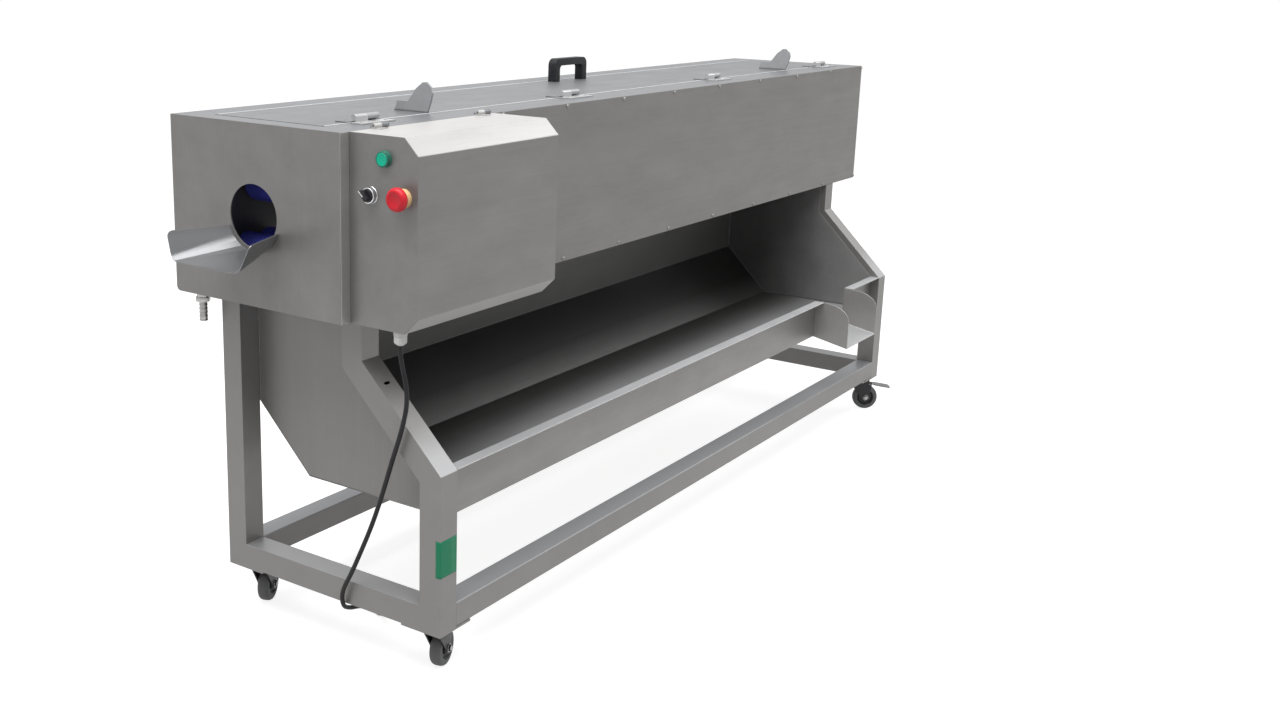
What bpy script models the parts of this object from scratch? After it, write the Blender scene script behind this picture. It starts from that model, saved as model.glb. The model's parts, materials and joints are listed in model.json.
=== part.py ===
"""Vegetable peeling machine: a sheet-steel tunnel housing with chain-driven feed rollers and peeling heads,
over a peel trough, on a welded tube frame with swivel casters.

All places are in the housing's own frame: x = 0 at the inlet end, y = 0 at the front panel, z = 0 at the
housing's underside. One empty carries the whole part and sets it on the floor, centred.
"""

import math

import bmesh
import bpy
from mathutils import Matrix, Vector

# Clearances and sheet
GAP = 0.0003
OVERRUN = 0.004
WELD = 0.001
SHEET = 0.002
END_SHEET = 0.003
WELD_DISTANCE = 0.00001

# Sides of round pieces, by their size
SIDES_TUNNEL = 36
SIDES_LARGE = 20
SIDES_SMALL = 14
SIDES_PIN = 10

# Housing
HOUSING_LENGTH = 2.42
HOUSING_DEPTH = 0.442
HOUSING_HEIGHT = 0.352
UNDERSIDE_HEIGHT = 0.689
BACK_BEND = 0.010
BACK_LIP_Y = 0.375

# Round tunnel through the housing
TUNNEL_RADIUS = 0.0615
TUNNEL_Y = 0.221
TUNNEL_Z = HOUSING_HEIGHT / 2

# Top rim round the lid opening
RIM_SKIRT = 0.020
OPENING_X_MARGIN = 0.0485
OPENING_FRONT_Y = 0.0855
OPENING_BACK_Y = 0.3715
LEDGE_DEPTH = 0.0205
LEDGE_WIDTH = 0.012

# Lid
LID_SIDE_GAP = 0.0015
LID_BACK_GAP = 0.0025
LID_RISE = 0.0005
LID_CORNER = 0.004
FIN_THICKNESS = 0.005
FIN_FROM_INLET = 0.36
FIN_FROM_OUTLET = 0.37
FIN_X_PLACES = (FIN_FROM_INLET, HOUSING_LENGTH - FIN_FROM_OUTLET)
FIN_HEIGHT = 0.0625
FIN_TAIL_REACH = 0.092
FIN_FRONT_SHARES = ((0.076, 0), (-0.011, 0.312), (-0.076, 0.664), (-0.043, 0.84), (0.087, 1))
FIN_TAIL_SHARES = ((0.196, 0.984), (0.38, 0.776), (0.598, 0.36), (0.913, 0.344), (1, 0))
HANDLE_PAST_MIDDLE = 0.039
HANDLE_X = HOUSING_LENGTH / 2 + HANDLE_PAST_MIDDLE
HANDLE_Y = 0.338
HANDLE_LENGTH = 0.148
HANDLE_HEIGHT = 0.058
HANDLE_DEPTH = 0.022
HANDLE_LEG = 0.022
HANDLE_GRIP = 0.018
HANDLE_CORNER = 0.016
HANDLE_INNER_CORNER = 0.008

# Lid hinges
HINGES = 4
HINGE_FROM_INLET = 0.165
HINGE_FROM_OUTLET = 0.140
HINGE_PITCH = (HOUSING_LENGTH - HINGE_FROM_INLET - HINGE_FROM_OUTLET) / (HINGES - 1)
HINGE_X_PLACES = tuple(HINGE_FROM_INLET + HINGE_PITCH * number for number in range(HINGES))
HINGE_LEAF_LENGTH = 0.095
HINGE_LEAF_SHEET = 0.002
HINGE_AXIS_BEFORE_LID = 0.003
HINGE_AXIS_RISE = 0.010
HINGE_KNUCKLE_RADIUS = 0.006
HINGE_KNUCKLE_LENGTH = 0.034
HINGE_PIN_RADIUS = 0.003
HINGE_FIXED_LEAF_Y = 0.050
HINGE_MOVING_LEAF_Y = 0.118
HINGE_WEB = 0.0022

# Control box
BOX_START_X = 0.024
BOX_END_X = 0.461
BOX_DEPTH = 0.159
BOX_CHAMFER = 0.031
BOX_UPSTAND = 0.030
BOX_FLOOR_PLAY = 0.001
BOX_HINGE_X_PLACES = (0.105, 0.42)
BOX_HINGE_KNUCKLE_RADIUS = 0.005
BOX_HINGE_KNUCKLE_LENGTH = 0.020
BOX_HINGE_PIN_RADIUS = 0.0022
BOX_HINGE_AXIS_Y = -0.004
BOX_HINGE_LEAF = 0.018
BOX_HINGE_PAD = 0.006

# Controls on the end wall of the control box: places are (y, z)
CONTROL_HOLE_RADIUS = 0.011
BARREL_RADIUS = 0.0107
BARREL_LENGTH = 0.025
NUT_RADIUS = 0.014
NUT_THICKNESS = 0.006
START_BELOW_TOP = 0.041
START_PLACE = (-0.085, HOUSING_HEIGHT - START_BELOW_TOP)
START_BEZEL_RADIUS = 0.015
START_BEZEL_HEIGHT = 0.0065
START_POCKET_RADIUS = 0.0122
START_POCKET_FLOOR = 0.001
START_TRAVEL = 0.003
START_CAP_RADIUS = 0.0119
START_CAP_TOP = 0.0105
START_CAP_ROUND = 0.003
SELECTOR_BELOW_TOP = 0.108
SELECTOR_PLACE = (-0.053, HOUSING_HEIGHT - SELECTOR_BELOW_TOP)
SELECTOR_BEZEL_RADIUS = 0.0155
SELECTOR_BEZEL_HEIGHT = 0.008
SELECTOR_KNOB_RADIUS = 0.0125
SELECTOR_KNOB_HEIGHT = 0.008
SELECTOR_LEVER_WIDTH = 0.008
SELECTOR_LEVER_HEIGHT = 0.010
SELECTOR_REST_ANGLE = math.radians(45)
STEM_RADIUS = 0.0063
STEM_LENGTH = 0.022
ESTOP_BELOW_TOP = 0.106
ESTOP_PLACE = (-0.128, HOUSING_HEIGHT - ESTOP_BELOW_TOP)
ESTOP_BASE_RADIUS = 0.0175
ESTOP_BASE_HEIGHT = 0.009
ESTOP_HEAD_RADIUS = 0.0215
ESTOP_HEAD_BOTTOM = 0.0150
ESTOP_HEAD_EDGE = 0.008
ESTOP_HEAD_TOP = 0.029
ESTOP_STEM_RADIUS = 0.0075
BEZEL_ROUND = 0.0015

# Cable gland and cord
CORD_RADIUS = 0.0045
GLAND_PLACE = (0.040, -0.106)
GLAND_HOLE_RADIUS = 0.008
GLAND_THREAD_RADIUS = 0.0077
GLAND_BODY_RADIUS = 0.013
GLAND_BODY_LENGTH = 0.008
GLAND_CAP_RADIUS = 0.0118
GLAND_CAP_LENGTH = 0.0135
GLAND_DOME_LENGTH = 0.0025
GLAND_TIP_RADIUS = 0.0068
GLAND_TIP_LENGTH = 0.003
GLAND_NUT_RADIUS = 0.011
GLAND_NUT_THICKNESS = 0.004

# Drive
SHAFT_X = 0.215
DRIVE_BELOW_TUNNEL = 0.081
DRIVE_Z = TUNNEL_Z - DRIVE_BELOW_TUNNEL
DRIVE_SHAFT_RADIUS = 0.0125
DRIVE_SHAFT_FRONT_Y = -0.110
DRIVE_SHAFT_BACK_Y = 0.060
SHAFT_HOLE_RADIUS = 0.020
SPROCKET_FRONT_Y = 0.040
SPROCKET_WIDTH = 0.008
SPROCKET_ROOT_RADIUS = 0.0245
SPROCKET_TIP_RADIUS = 0.0285
SPROCKET_TEETH = 12
SPROCKET_TOOTH_SHARES = ((0, SPROCKET_ROOT_RADIUS), (0.4, SPROCKET_TIP_RADIUS), (0.6, SPROCKET_TIP_RADIUS))
CHAIN_THICKNESS = 0.005
GEARBOX_LENGTH = 0.110
GEARBOX_FRONT_Y = -0.112
GEARBOX_BACK_Y = -0.014
GEARBOX_BELOW = 0.060
GEARBOX_ABOVE = 0.100
GEARBOX_FLANGE_RADIUS = 0.048
GEARBOX_ROUND = 0.006
MOTOR_RADIUS = 0.050
MOTOR_RIB_HEIGHT = 0.005
MOTOR_RIBS = 2
MOTOR_RIB_WIDTH = 0.048
MOTOR_RIB_PITCH = 0.063
MOTOR_NECK = 0.012
MOTOR_Y = -0.064
MOTOR_ABOVE_DRIVE = 0.040
MOTOR_Z = DRIVE_Z + MOTOR_ABOVE_DRIVE
MOTOR_FAN_LENGTH = 0.022

# Roller beams
BEAM_SHEET = 0.004
FRONT_BEAM_Y = 0.087
BACK_BEAM_Y = 0.345
BEAM_BELOW_TOP = 0.027
BEAM_HEIGHT = HOUSING_HEIGHT - BEAM_BELOW_TOP
BOSS_RADIUS = 0.024
BOSS_LENGTH = 0.012

# Rollers: places are x
LAST_LOWER_ROLLER_SETBACK = 0.090
LOWER_ROLLER_PLACES = (0.0875, 0.1475, HOUSING_LENGTH / 2, HOUSING_LENGTH - LAST_LOWER_ROLLER_SETBACK)
LOWER_ROLLER_RADIUS = 0.027
LOWER_SHAFT_RADIUS = 0.010
LOWER_SHAFT_FRONT_Y = 0.030
ROLLER_FRONT_Y = 0.100
ROLLER_BACK_Y = 0.332
LAST_UPPER_ROLLER_SETBACK = 0.150
UPPER_ROLLER_PLACES = (0.12, HOUSING_LENGTH / 2, HOUSING_LENGTH - LAST_UPPER_ROLLER_SETBACK)
UPPER_ROLLER_RADIUS = 0.035
UPPER_SHAFT_RADIUS = 0.008
UPPER_ROLLER_ABOVE_TUNNEL = 0.039
UPPER_ROLLER_Z = TUNNEL_Z + UPPER_ROLLER_ABOVE_TUNNEL
ARM_REACH = 0.100
ARM_PIVOT_BELOW_TOP = 0.072
ARM_PIVOT_Z = HOUSING_HEIGHT - ARM_PIVOT_BELOW_TOP
ARM_SHEET = 0.005
ARM_HALF_WIDTH = 0.018
ARM_TUBE_RADIUS = 0.012
ARM_FRONT_Y = 0.090
ARM_BACK_Y = 0.342
ARM_PIN_RADIUS = 0.008
ARM_PIN_PAST = 0.007

# Peeling heads
KNIFE_FROM_END = 0.62
KNIFE_X_PLACES = (KNIFE_FROM_END, HOUSING_LENGTH - KNIFE_FROM_END)
KNIFE_SHEET = 0.005
KNIFE_BOTTOM_Z = 0.030
KNIFE_BELOW_TOP = 0.052
KNIFE_TOP_Z = HOUSING_HEIGHT - KNIFE_BELOW_TOP
KNIFE_HOLE_RADIUS = 0.055
KNIFE_HOLE_BELOW_TUNNEL = 0.019
KNIFE_HOLE_Z = TUNNEL_Z - KNIFE_HOLE_BELOW_TUNNEL
KNIFE_HOLDERS = 3
KNIFE_HOLDER_LENGTH = 0.028
KNIFE_HOLDER_WIDTH = 0.016
KNIFE_HOLDER_DEPTH = 0.010
KNIFE_BLADE_DEPTH = 0.012
KNIFE_BLADE_SHEET = 0.002

# Water pipe
PIPE_X = 0.030
PIPE_Y = 0.400
PIPE_RADIUS = 0.008
PIPE_BELOW_TOP = 0.092
PIPE_TOP_Z = HOUSING_HEIGHT - PIPE_BELOW_TOP
PIPE_END_SETBACK = 0.120
PIPE_END_X = HOUSING_LENGTH - PIPE_END_SETBACK
PIPE_BEND = 0.030
BARB_COLLAR_RADIUS = 0.0125
BARB_SEAT_RADIUS = 0.010
BARB_COLLAR_LENGTH = 0.022
BARB_RADIUS = 0.0075
BARB_RIDGE = 0.001
BARB_RIDGES = 3
BARB_LENGTH = 0.040
NOZZLE_RADIUS = 0.004
NOZZLE_LENGTH = 0.018
NOZZLE_SETBACK = 0.060

# Feed tray
TRAY_REACH = 0.115
TRAY_ARC_RADIUS = 0.067
TRAY_TOP_BELOW_TUNNEL = 0.025
TRAY_TOP_Z = TUNNEL_Z - TRAY_TOP_BELOW_TUNNEL
TRAY_END_BELOW_TUNNEL = 0.081
TRAY_END_BOTTOM_Z = TUNNEL_Z - TRAY_END_BELOW_TUNNEL
TRAY_END_TOP_Y = (0.115, 0.333)
TRAY_END_BOTTOM_Y = (0.146, 0.320)
TRAY_END_BEND = 0.018
TRAY_CORNER = 0.012

# Frame of square tube
TUBE = 0.050
TUBE_WALL = 0.002
FRAME_FRONT_Y = -0.191
FRAME_BACK_Y = 0.371
FRAME_LEFT_X = 0.053
FRAME_RIGHT_SETBACK = 0.164
FRAME_RIGHT_X = HOUSING_LENGTH - FRAME_RIGHT_SETBACK
POST_DROP = 0.079
SLOPE_END_DROP = 0.266
CASTER_HEIGHT = 0.105
SLOT_FROM_TOP = 0.058
SLOT_LENGTH = 0.016
SLOT_WIDTH = 0.006
CASTER_PLATE = 0.095
CASTER_PLATE_SHEET = 0.004

# Peel trough and spout
TROUGH_WALL_DROP = 0.234
TROUGH_FOLD_Y = 0.186
TROUGH_DEPTH = 0.367
TROUGH_FRONT_Y = -0.165
TROUGH_LIP_Y = -0.191
TROUGH_LIP_DROP = 0.266
TROUGH_END_INSET = 0.017
SPOUT_FROM_FRAME = 0.256
SPOUT_LENGTH = 0.210
SPOUT_START_X = FRAME_RIGHT_X - SPOUT_FROM_FRAME - SPOUT_LENGTH
SPOUT_END_X = SPOUT_START_X + SPOUT_LENGTH
SPOUT_FRONT_Y = -0.267
SPOUT_BEND_Y = -0.200
SPOUT_SHOULDER_DROP = 0.310
SPOUT_FLOOR_DROP = 0.387

# Casters
WHEEL_RADIUS = 0.0375
WHEEL_WIDTH = 0.024
WHEEL_ROUND = 0.004
HUB_WIDTH = 0.0269
HUB_RADIUS = 0.014
AXLE_RADIUS = 0.004
AXLE_HEAD_RADIUS = 0.0075
AXLE_HEAD = 0.0045
CASTER_TRAIL = 0.030
FORK_SHEET = 0.0025
FORK_GAP = 0.0275
FORK_TOP_Z = 0.0895
FORK_CROWN = 0.006
FORK_BOSS_RADIUS = 0.012
RACE_RADIUS = 0.026
RACE_LOWER_RADIUS = 0.022
PEDAL_PIN_RADIUS = 0.003
PEDAL_PIN_X = 0.040
PEDAL_PIN_Z = 0.0815
PEDAL_SHEET = 0.003
PEDAL_NARROW = 0.0215
PEDAL_WIDE = 0.034
PEDAL_START_X = 0.034
PEDAL_STEP_X = 0.060
PEDAL_END_X = 0.105
PEDAL_TILT = math.radians(9)
FRONT_LEFT_TRAIL_ANGLE = math.radians(15)
BACK_LEFT_TRAIL_ANGLE = math.radians(25)
FRONT_RIGHT_TRAIL_ANGLE = math.radians(-55)
BACK_RIGHT_TRAIL_ANGLE = math.radians(25)

# The cord's free stretch, from the gland to the coil. Its points are chosen by hand, in metres.
CORD_ROUTE = (
    (0.0400, -0.1060, -0.0277),
    (0.0400, -0.1060, -0.0450),
    (0.0400, -0.1115, -0.0720),
    (0.0400, -0.1190, -0.1020),
    (0.0400, -0.1200, -0.1400),
    (0.0400, -0.1080, -0.1900),
    (0.0400, -0.0850, -0.2560),
    (0.0400, -0.0580, -0.3350),
    (0.0400, -0.0300, -0.4060),
    (0.0390, 0.0110, -0.4950),
    (0.0395, 0.0400, -0.5520),
    (0.0465, 0.0455, -0.5850),
    (0.0670, 0.0475, -0.6000),
    (0.1025, 0.0475, -0.6110),
    (0.1475, 0.0485, -0.6380),
    (0.1835, 0.0625, -0.6630),
    (0.2075, 0.0875, -0.6790),
    (0.2150, 0.1125, -0.6845),
)
CORD_SPACING = 0.026
COIL_CENTRE = (0.2695, 0.1325)
COIL_PITCH = 0.0096
COIL_INNER_RADIUS = 0.0362
COIL_TURNS = 3.6
COIL_STEPS_PER_TURN = 24
PLUG_LENGTH = 0.048
PLUG_WIDTH = 0.036
PLUG_THICKNESS = 0.025
PLUG_ROUND = 0.006
PLUG_SLEEVE_LENGTH = 0.022
PLUG_SLEEVE_RADIUS = 0.0068
PIN_LENGTH = 0.018
PIN_WIDTH = 0.006
PIN_SHEET = 0.002
PIN_SPREAD = 0.008

# Worked out from the sizes above
FLOOR = -UNDERSIDE_HEIGHT
FRAME_BOTTOM = FLOOR + CASTER_HEIGHT
LID_TOP = HOUSING_HEIGHT + LID_RISE
LID_FRONT_Y = OPENING_FRONT_Y + LID_SIDE_GAP
LID_BACK_Y = OPENING_BACK_Y - LID_BACK_GAP
LID_START_X = OPENING_X_MARGIN + LID_SIDE_GAP
LID_END_X = HOUSING_LENGTH - LID_START_X
LID_AXIS = Vector((0, LID_FRONT_Y - HINGE_AXIS_BEFORE_LID, HOUSING_HEIGHT + HINGE_AXIS_RISE))
COVER_AXIS = Vector((BOX_START_X, BOX_HINGE_AXIS_Y, HOUSING_HEIGHT + BOX_HINGE_KNUCKLE_RADIUS + GAP))
CENTRE_X = (HOUSING_LENGTH - TRAY_REACH) / 2
CENTRE_Y = (HOUSING_DEPTH + SPOUT_FRONT_Y) / 2
X_AXIS = Vector((1, 0, 0))
Y_AXIS = Vector((0, 1, 0))
Z_AXIS = Vector((0, 0, 1))

# Matrices that stand a flat drawing across an axis: drawn (u, v) becomes (y, z), (x, z) or (x, y)
DRAWING_PLANES = {
    "X": Matrix(((0, 0, 1, 0), (1, 0, 0, 0), (0, 1, 0, 0), (0, 0, 0, 1))),
    "Y": Matrix(((1, 0, 0, 0), (0, 0, -1, 0), (0, 1, 0, 0), (0, 0, 0, 1))),
    "Z": Matrix.Identity(4),
}


def clear_scene():
    for obj in list(bpy.data.objects):
        bpy.data.objects.remove(obj, do_unlink=True)


def new_collection(name):
    collection = bpy.data.collections.new(name)
    bpy.context.scene.collection.children.link(collection)
    return collection


def new_root():
    """The empty that carries the whole part and stands it on the floor."""
    root = bpy.data.objects.new("peeling_machine_origin", None)
    root.location = (-CENTRE_X, -CENTRE_Y, UNDERSIDE_HEIGHT)
    bpy.context.scene.collection.objects.link(root)
    return root


def finish_material(name, colour, metallic, roughness):
    made = bpy.data.materials.new(name)
    made.use_nodes = True
    shader = made.node_tree.nodes["Principled BSDF"]
    shader.inputs["Base Color"].default_value = (*colour, 1)
    shader.inputs["Metallic"].default_value = metallic
    shader.inputs["Roughness"].default_value = roughness
    return made


clear_scene()
PARTS = new_collection("peeling_machine")
HELPERS = new_collection("peeling_machine_cutters")
ROOT = new_root()
STEEL = finish_material("brushed_stainless_steel", (0.56, 0.55, 0.53), 1.0, 0.35)
MACHINED = finish_material("machined_steel", (0.42, 0.42, 0.42), 1.0, 0.30)
BLUE_RUBBER = finish_material("blue_roller_rubber", (0.03, 0.04, 0.35), 0.0, 0.45)
BLACK_PLASTIC = finish_material("black_plastic", (0.02, 0.02, 0.025), 0.0, 0.45)
WHITE_PLASTIC = finish_material("white_nylon", (0.70, 0.70, 0.68), 0.0, 0.50)
GREEN_PLASTIC = finish_material("green_button", (0.01, 0.45, 0.25), 0.0, 0.30)
DARK_GREEN_PLASTIC = finish_material("dark_green_bezel", (0.01, 0.10, 0.06), 0.0, 0.35)
RED_PLASTIC = finish_material("red_button", (0.55, 0.03, 0.04), 0.0, 0.30)
YELLOW_PLASTIC = finish_material("yellow_base", (0.80, 0.62, 0.20), 0.0, 0.40)
CHROME = finish_material("chrome", (0.75, 0.75, 0.75), 1.0, 0.10)
MOTOR_GREY = finish_material("motor_grey_paint", (0.20, 0.22, 0.24), 0.2, 0.50)
CASTER_RUBBER = finish_material("caster_rubber", (0.06, 0.06, 0.065), 0.0, 0.60)
CASTER_STEEL = finish_material("dark_caster_steel", (0.10, 0.10, 0.11), 0.8, 0.45)
CORD_RUBBER = finish_material("cord_rubber", (0.02, 0.02, 0.025), 0.0, 0.50)


def helper(name, data, matrix=Matrix.Identity(4)):
    """A shape that isn't a piece yet: it stays out of the part until as_part moves it there."""
    obj = bpy.data.objects.new(name, data)
    HELPERS.objects.link(obj)
    obj.parent = ROOT
    obj.matrix_local = matrix
    obj.hide_render = True
    obj.display_type = "WIRE"
    return obj


def as_part(obj, name, finish, origin=None, smooth=math.radians(35)):
    """Makes a shape one piece of the part, with its origin on its joint's axis where it moves."""
    HELPERS.objects.unlink(obj)
    PARTS.objects.link(obj)
    obj.name = name
    obj.hide_render = False
    obj.display_type = "TEXTURED"
    obj.data.materials.clear()
    obj.data.materials.append(finish)
    if origin is not None:
        place = Vector(origin)
        obj.data.transform(Matrix.Translation(-place))
        obj.location = place
    obj.data.shade_smooth()
    obj.data.set_sharp_from_angle(angle=smooth)
    return obj


def carry(carrier, *pieces):
    """Hangs pieces on the moving piece that carries them, where they are."""
    bpy.context.view_layer.update()
    for piece in pieces:
        local = carrier.matrix_local.inverted() @ piece.matrix_local
        piece.parent = carrier
        piece.matrix_local = local


def with_boolean(obj, operation, others):
    for other in others:
        modifier = obj.modifiers.new(operation.lower(), "BOOLEAN")
        modifier.operation = operation
        modifier.solver = "EXACT"
        modifier.object = other
    return obj


def fuse(obj, *others):
    return with_boolean(obj, "UNION", others)


def cut(obj, *others):
    return with_boolean(obj, "DIFFERENCE", others)


def baked(obj):
    """The mesh that a shape's modifiers leave. The shape and its cutters are removed."""
    bpy.context.view_layer.update()
    graph = bpy.context.evaluated_depsgraph_get()
    mesh = bpy.data.meshes.new_from_object(obj.evaluated_get(graph))
    mesh.transform(obj.matrix_local)
    for modifier in list(obj.modifiers):
        if modifier.type == "BOOLEAN":
            bpy.data.objects.remove(modifier.object)
    bpy.data.objects.remove(obj)
    return mesh


def mesh_from(bm, name):
    mesh = bpy.data.meshes.new(name)
    bm.to_mesh(mesh)
    bm.free()
    return mesh


def block(name, low, high, rounding=0, segments=2):
    """A box between two corners, its edges rounded where asked."""
    size = Vector(high) - Vector(low)
    middle = (Vector(high) + Vector(low)) / 2
    bm = bmesh.new()
    bmesh.ops.create_cube(bm, size=1)
    bmesh.ops.scale(bm, vec=size, verts=bm.verts)
    bmesh.ops.translate(bm, vec=middle, verts=bm.verts)
    if rounding:
        bmesh.ops.bevel(bm, geom=bm.edges[:], offset=rounding, segments=segments, profile=0.5, affect="EDGES")
    return helper(name, mesh_from(bm, name))


def rod(name, start, end, radius, sides=SIDES_LARGE):
    """A cylinder between two points."""
    start = Vector(start)
    along = Vector(end) - start
    bm = bmesh.new()
    bmesh.ops.create_cone(
        bm,
        cap_ends=True,
        segments=sides,
        radius1=radius,
        radius2=radius,
        depth=along.length,
    )
    turn = Z_AXIS.rotation_difference(along).to_matrix().to_4x4()
    bmesh.ops.transform(bm, matrix=Matrix.Translation(start + along / 2) @ turn, verts=bm.verts)
    return helper(name, mesh_from(bm, name))


def flat(name, outline, axis, start, end, holes=()):
    """A flat drawing with holes, given its thickness along an axis."""
    curve = bpy.data.curves.new(name, "CURVE")
    curve.dimensions = "2D"
    curve.fill_mode = "BOTH"
    curve.extrude = (end - start) / 2
    for points in (outline, *holes):
        spline = curve.splines.new("POLY")
        spline.points.add(len(points) - 1)
        for point, (u, v) in zip(spline.points, points):
            point.co = (u, v, 0, 1)
        spline.use_cyclic_u = True
    drawn = helper(name + "_drawing", curve)
    bpy.context.view_layer.update()
    graph = bpy.context.evaluated_depsgraph_get()
    mesh = bpy.data.meshes.new_from_object(drawn.evaluated_get(graph))
    bpy.data.objects.remove(drawn)
    bm = bmesh.new()
    bm.from_mesh(mesh)
    bmesh.ops.remove_doubles(bm, verts=bm.verts, dist=WELD_DISTANCE)
    across = {"X": X_AXIS, "Y": Y_AXIS, "Z": Z_AXIS}[axis]
    bmesh.ops.transform(
        bm, matrix=Matrix.Translation(across * (start + end) / 2) @ DRAWING_PLANES[axis], verts=bm.verts
    )
    bmesh.ops.recalc_face_normals(bm, faces=bm.faces)
    return helper(name, mesh_from(bm, name))


def solidify(obj, thickness):
    modifier = obj.modifiers.new("wall", "SOLIDIFY")
    modifier.thickness = thickness
    modifier.offset = 1
    modifier.use_even_offset = True
    return obj


def folded_sheet(name, path, axis, start, end, thickness=SHEET):
    """A sheet folded along a path and run along an axis. Its thickness lies to the left of the path."""
    plane = DRAWING_PLANES[axis]
    low, high = (end, start) if axis == "Y" else (start, end)
    depths = [-low, -high] if axis == "Y" else [low, high]
    bm = bmesh.new()
    rows = [[bm.verts.new(plane @ Vector((u, v, depth))) for u, v in path] for depth in depths]
    for index in range(len(path) - 1):
        bm.faces.new((rows[0][index + 1], rows[0][index], rows[1][index], rows[1][index + 1]))
    return solidify(helper(name, mesh_from(bm, name)), thickness)


def turned(name, profile, centre, direction, sides=SIDES_LARGE):
    """A profile of (radius, height) turned about a line. It runs down the outer side, top to bottom."""
    bm = bmesh.new()
    points = [bm.verts.new((radius, 0, height)) for radius, height in profile]
    for before, after in zip(points, points[1:]):
        bm.edges.new((before, after))
    closed_ring = min(radius for radius, _ in profile) > 0
    if closed_ring:
        bm.edges.new((points[-1], points[0]))
    turn = Z_AXIS.rotation_difference(Vector(direction)).to_matrix().to_4x4()
    obj = helper(name, mesh_from(bm, name), Matrix.Translation(Vector(centre)) @ turn)
    modifier = obj.modifiers.new("turn", "SCREW")
    modifier.axis = "Z"
    modifier.steps = sides
    modifier.render_steps = sides
    modifier.use_merge_vertices = True
    modifier.merge_threshold = WELD_DISTANCE
    modifier.use_smooth_shade = True
    return obj


def tube(name, points, radius, resolution=2):
    """A round tube with closed ends along points, as a mesh."""
    curve = bpy.data.curves.new(name, "CURVE")
    curve.dimensions = "3D"
    curve.bevel_depth = radius
    curve.bevel_resolution = resolution
    curve.use_fill_caps = True
    spline = curve.splines.new("POLY")
    spline.points.add(len(points) - 1)
    for point, place in zip(spline.points, points):
        point.co = (*place, 1)
    drawn = helper(name + "_line", curve)
    bpy.context.view_layer.update()
    graph = bpy.context.evaluated_depsgraph_get()
    mesh = bpy.data.meshes.new_from_object(drawn.evaluated_get(graph))
    bpy.data.objects.remove(drawn)
    bm = bmesh.new()
    bm.from_mesh(mesh)
    bmesh.ops.remove_doubles(bm, verts=bm.verts, dist=WELD_DISTANCE)
    bmesh.ops.recalc_face_normals(bm, faces=bm.faces)
    return helper(name, mesh_from(bm, name))


def arc(centre, radius, start, end, steps):
    """Points on a circle from one angle to another, in degrees."""
    angles = [math.radians(start + (end - start) * step / steps) for step in range(steps + 1)]
    return [(centre[0] + radius * math.cos(a), centre[1] + radius * math.sin(a)) for a in angles]


def circle(centre, radius, sides=SIDES_LARGE):
    return arc(centre, radius, 0, 360, sides)[:-1]


def rounded(points, radius, steps=3):
    """A closed outline with each corner turned into an arc of one radius."""
    result = []
    count = len(points)
    for index, corner in enumerate(points):
        corner = Vector(corner)
        before = (Vector(points[index - 1]) - corner).normalized()
        after = (Vector(points[(index + 1) % count]) - corner).normalized()
        half = before.angle(after) / 2
        middle = corner + (before + after).normalized() * radius / math.sin(half)
        first = corner + before * radius / math.tan(half) - middle
        last = corner + after * radius / math.tan(half) - middle
        turn = first.angle_signed(last)
        for step in range(steps + 1):
            swung = first.copy()
            swung.rotate(Matrix.Rotation(-turn * step / steps, 2))
            result.append(tuple(middle + swung))
    return result


def offset_path(points, distance):
    """The open path moved to its left by a distance, with mitred corners."""
    points = [Vector(point) for point in points]
    runs = [(after - before).normalized() for before, after in zip(points, points[1:])]
    runs = [runs[0], *runs, runs[-1]]
    moved = []
    for point, before, after in zip(points, runs, runs[1:]):
        left = Vector((-before.y, before.x))
        middle = (left + Vector((-after.y, after.x))).normalized()
        moved.append(tuple(point + middle * distance / middle.dot(left)))
    return moved


def rectangle(low, high):
    return [(low[0], low[1]), (high[0], low[1]), (high[0], high[1]), (low[0], high[1])]


# Frame


def frame_path():
    """The outer line of an end frame in (y, z), from the front post's top round to the back leg's top."""
    return [
        (0, -GAP),
        (0, -POST_DROP),
        (FRAME_FRONT_Y, -SLOPE_END_DROP),
        (FRAME_FRONT_Y, FRAME_BOTTOM),
        (FRAME_BACK_Y, FRAME_BOTTOM),
        (FRAME_BACK_Y, -GAP),
    ]


def slope_direction():
    return (Vector((FRAME_FRONT_Y, -SLOPE_END_DROP)) - Vector((0, -POST_DROP))).normalized()


def frame_ribbon(inset, rise=0):
    """The outline of the bent run of tube, inset on both sides, its two tops raised where asked."""
    path = frame_path()
    path[0] = (path[0][0], path[0][1] + rise)
    path[-1] = (path[-1][0], path[-1][1] + rise)
    return offset_path(path, inset) + offset_path(path, TUBE - inset)[::-1]


def caster_plate(x_start, x_end, y_start, y_end):
    low = (x_start, y_start, FRAME_BOTTOM - CASTER_PLATE_SHEET)
    return block("caster_plate", low, (x_end, y_end, FRAME_BOTTOM + WELD))


def end_frame(name, start_x, plate_start_x):
    """A welded end frame: post, slope, front leg, bottom tube and back leg in one mitred, hollow run."""
    end_x = start_x + TUBE
    frame = flat(name, frame_ribbon(0), "X", start_x, end_x)
    hollow = flat("hollow", frame_ribbon(TUBE_WALL, OVERRUN), "X", start_x + TUBE_WALL, end_x - TUBE_WALL)
    plate_end_x = plate_start_x + CASTER_PLATE
    front = caster_plate(plate_start_x, plate_end_x, FRAME_FRONT_Y, FRAME_FRONT_Y + CASTER_PLATE)
    back = caster_plate(plate_start_x, plate_end_x, FRAME_BACK_Y - CASTER_PLATE, FRAME_BACK_Y)
    return cut(fuse(frame, front, back), hollow)


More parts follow.
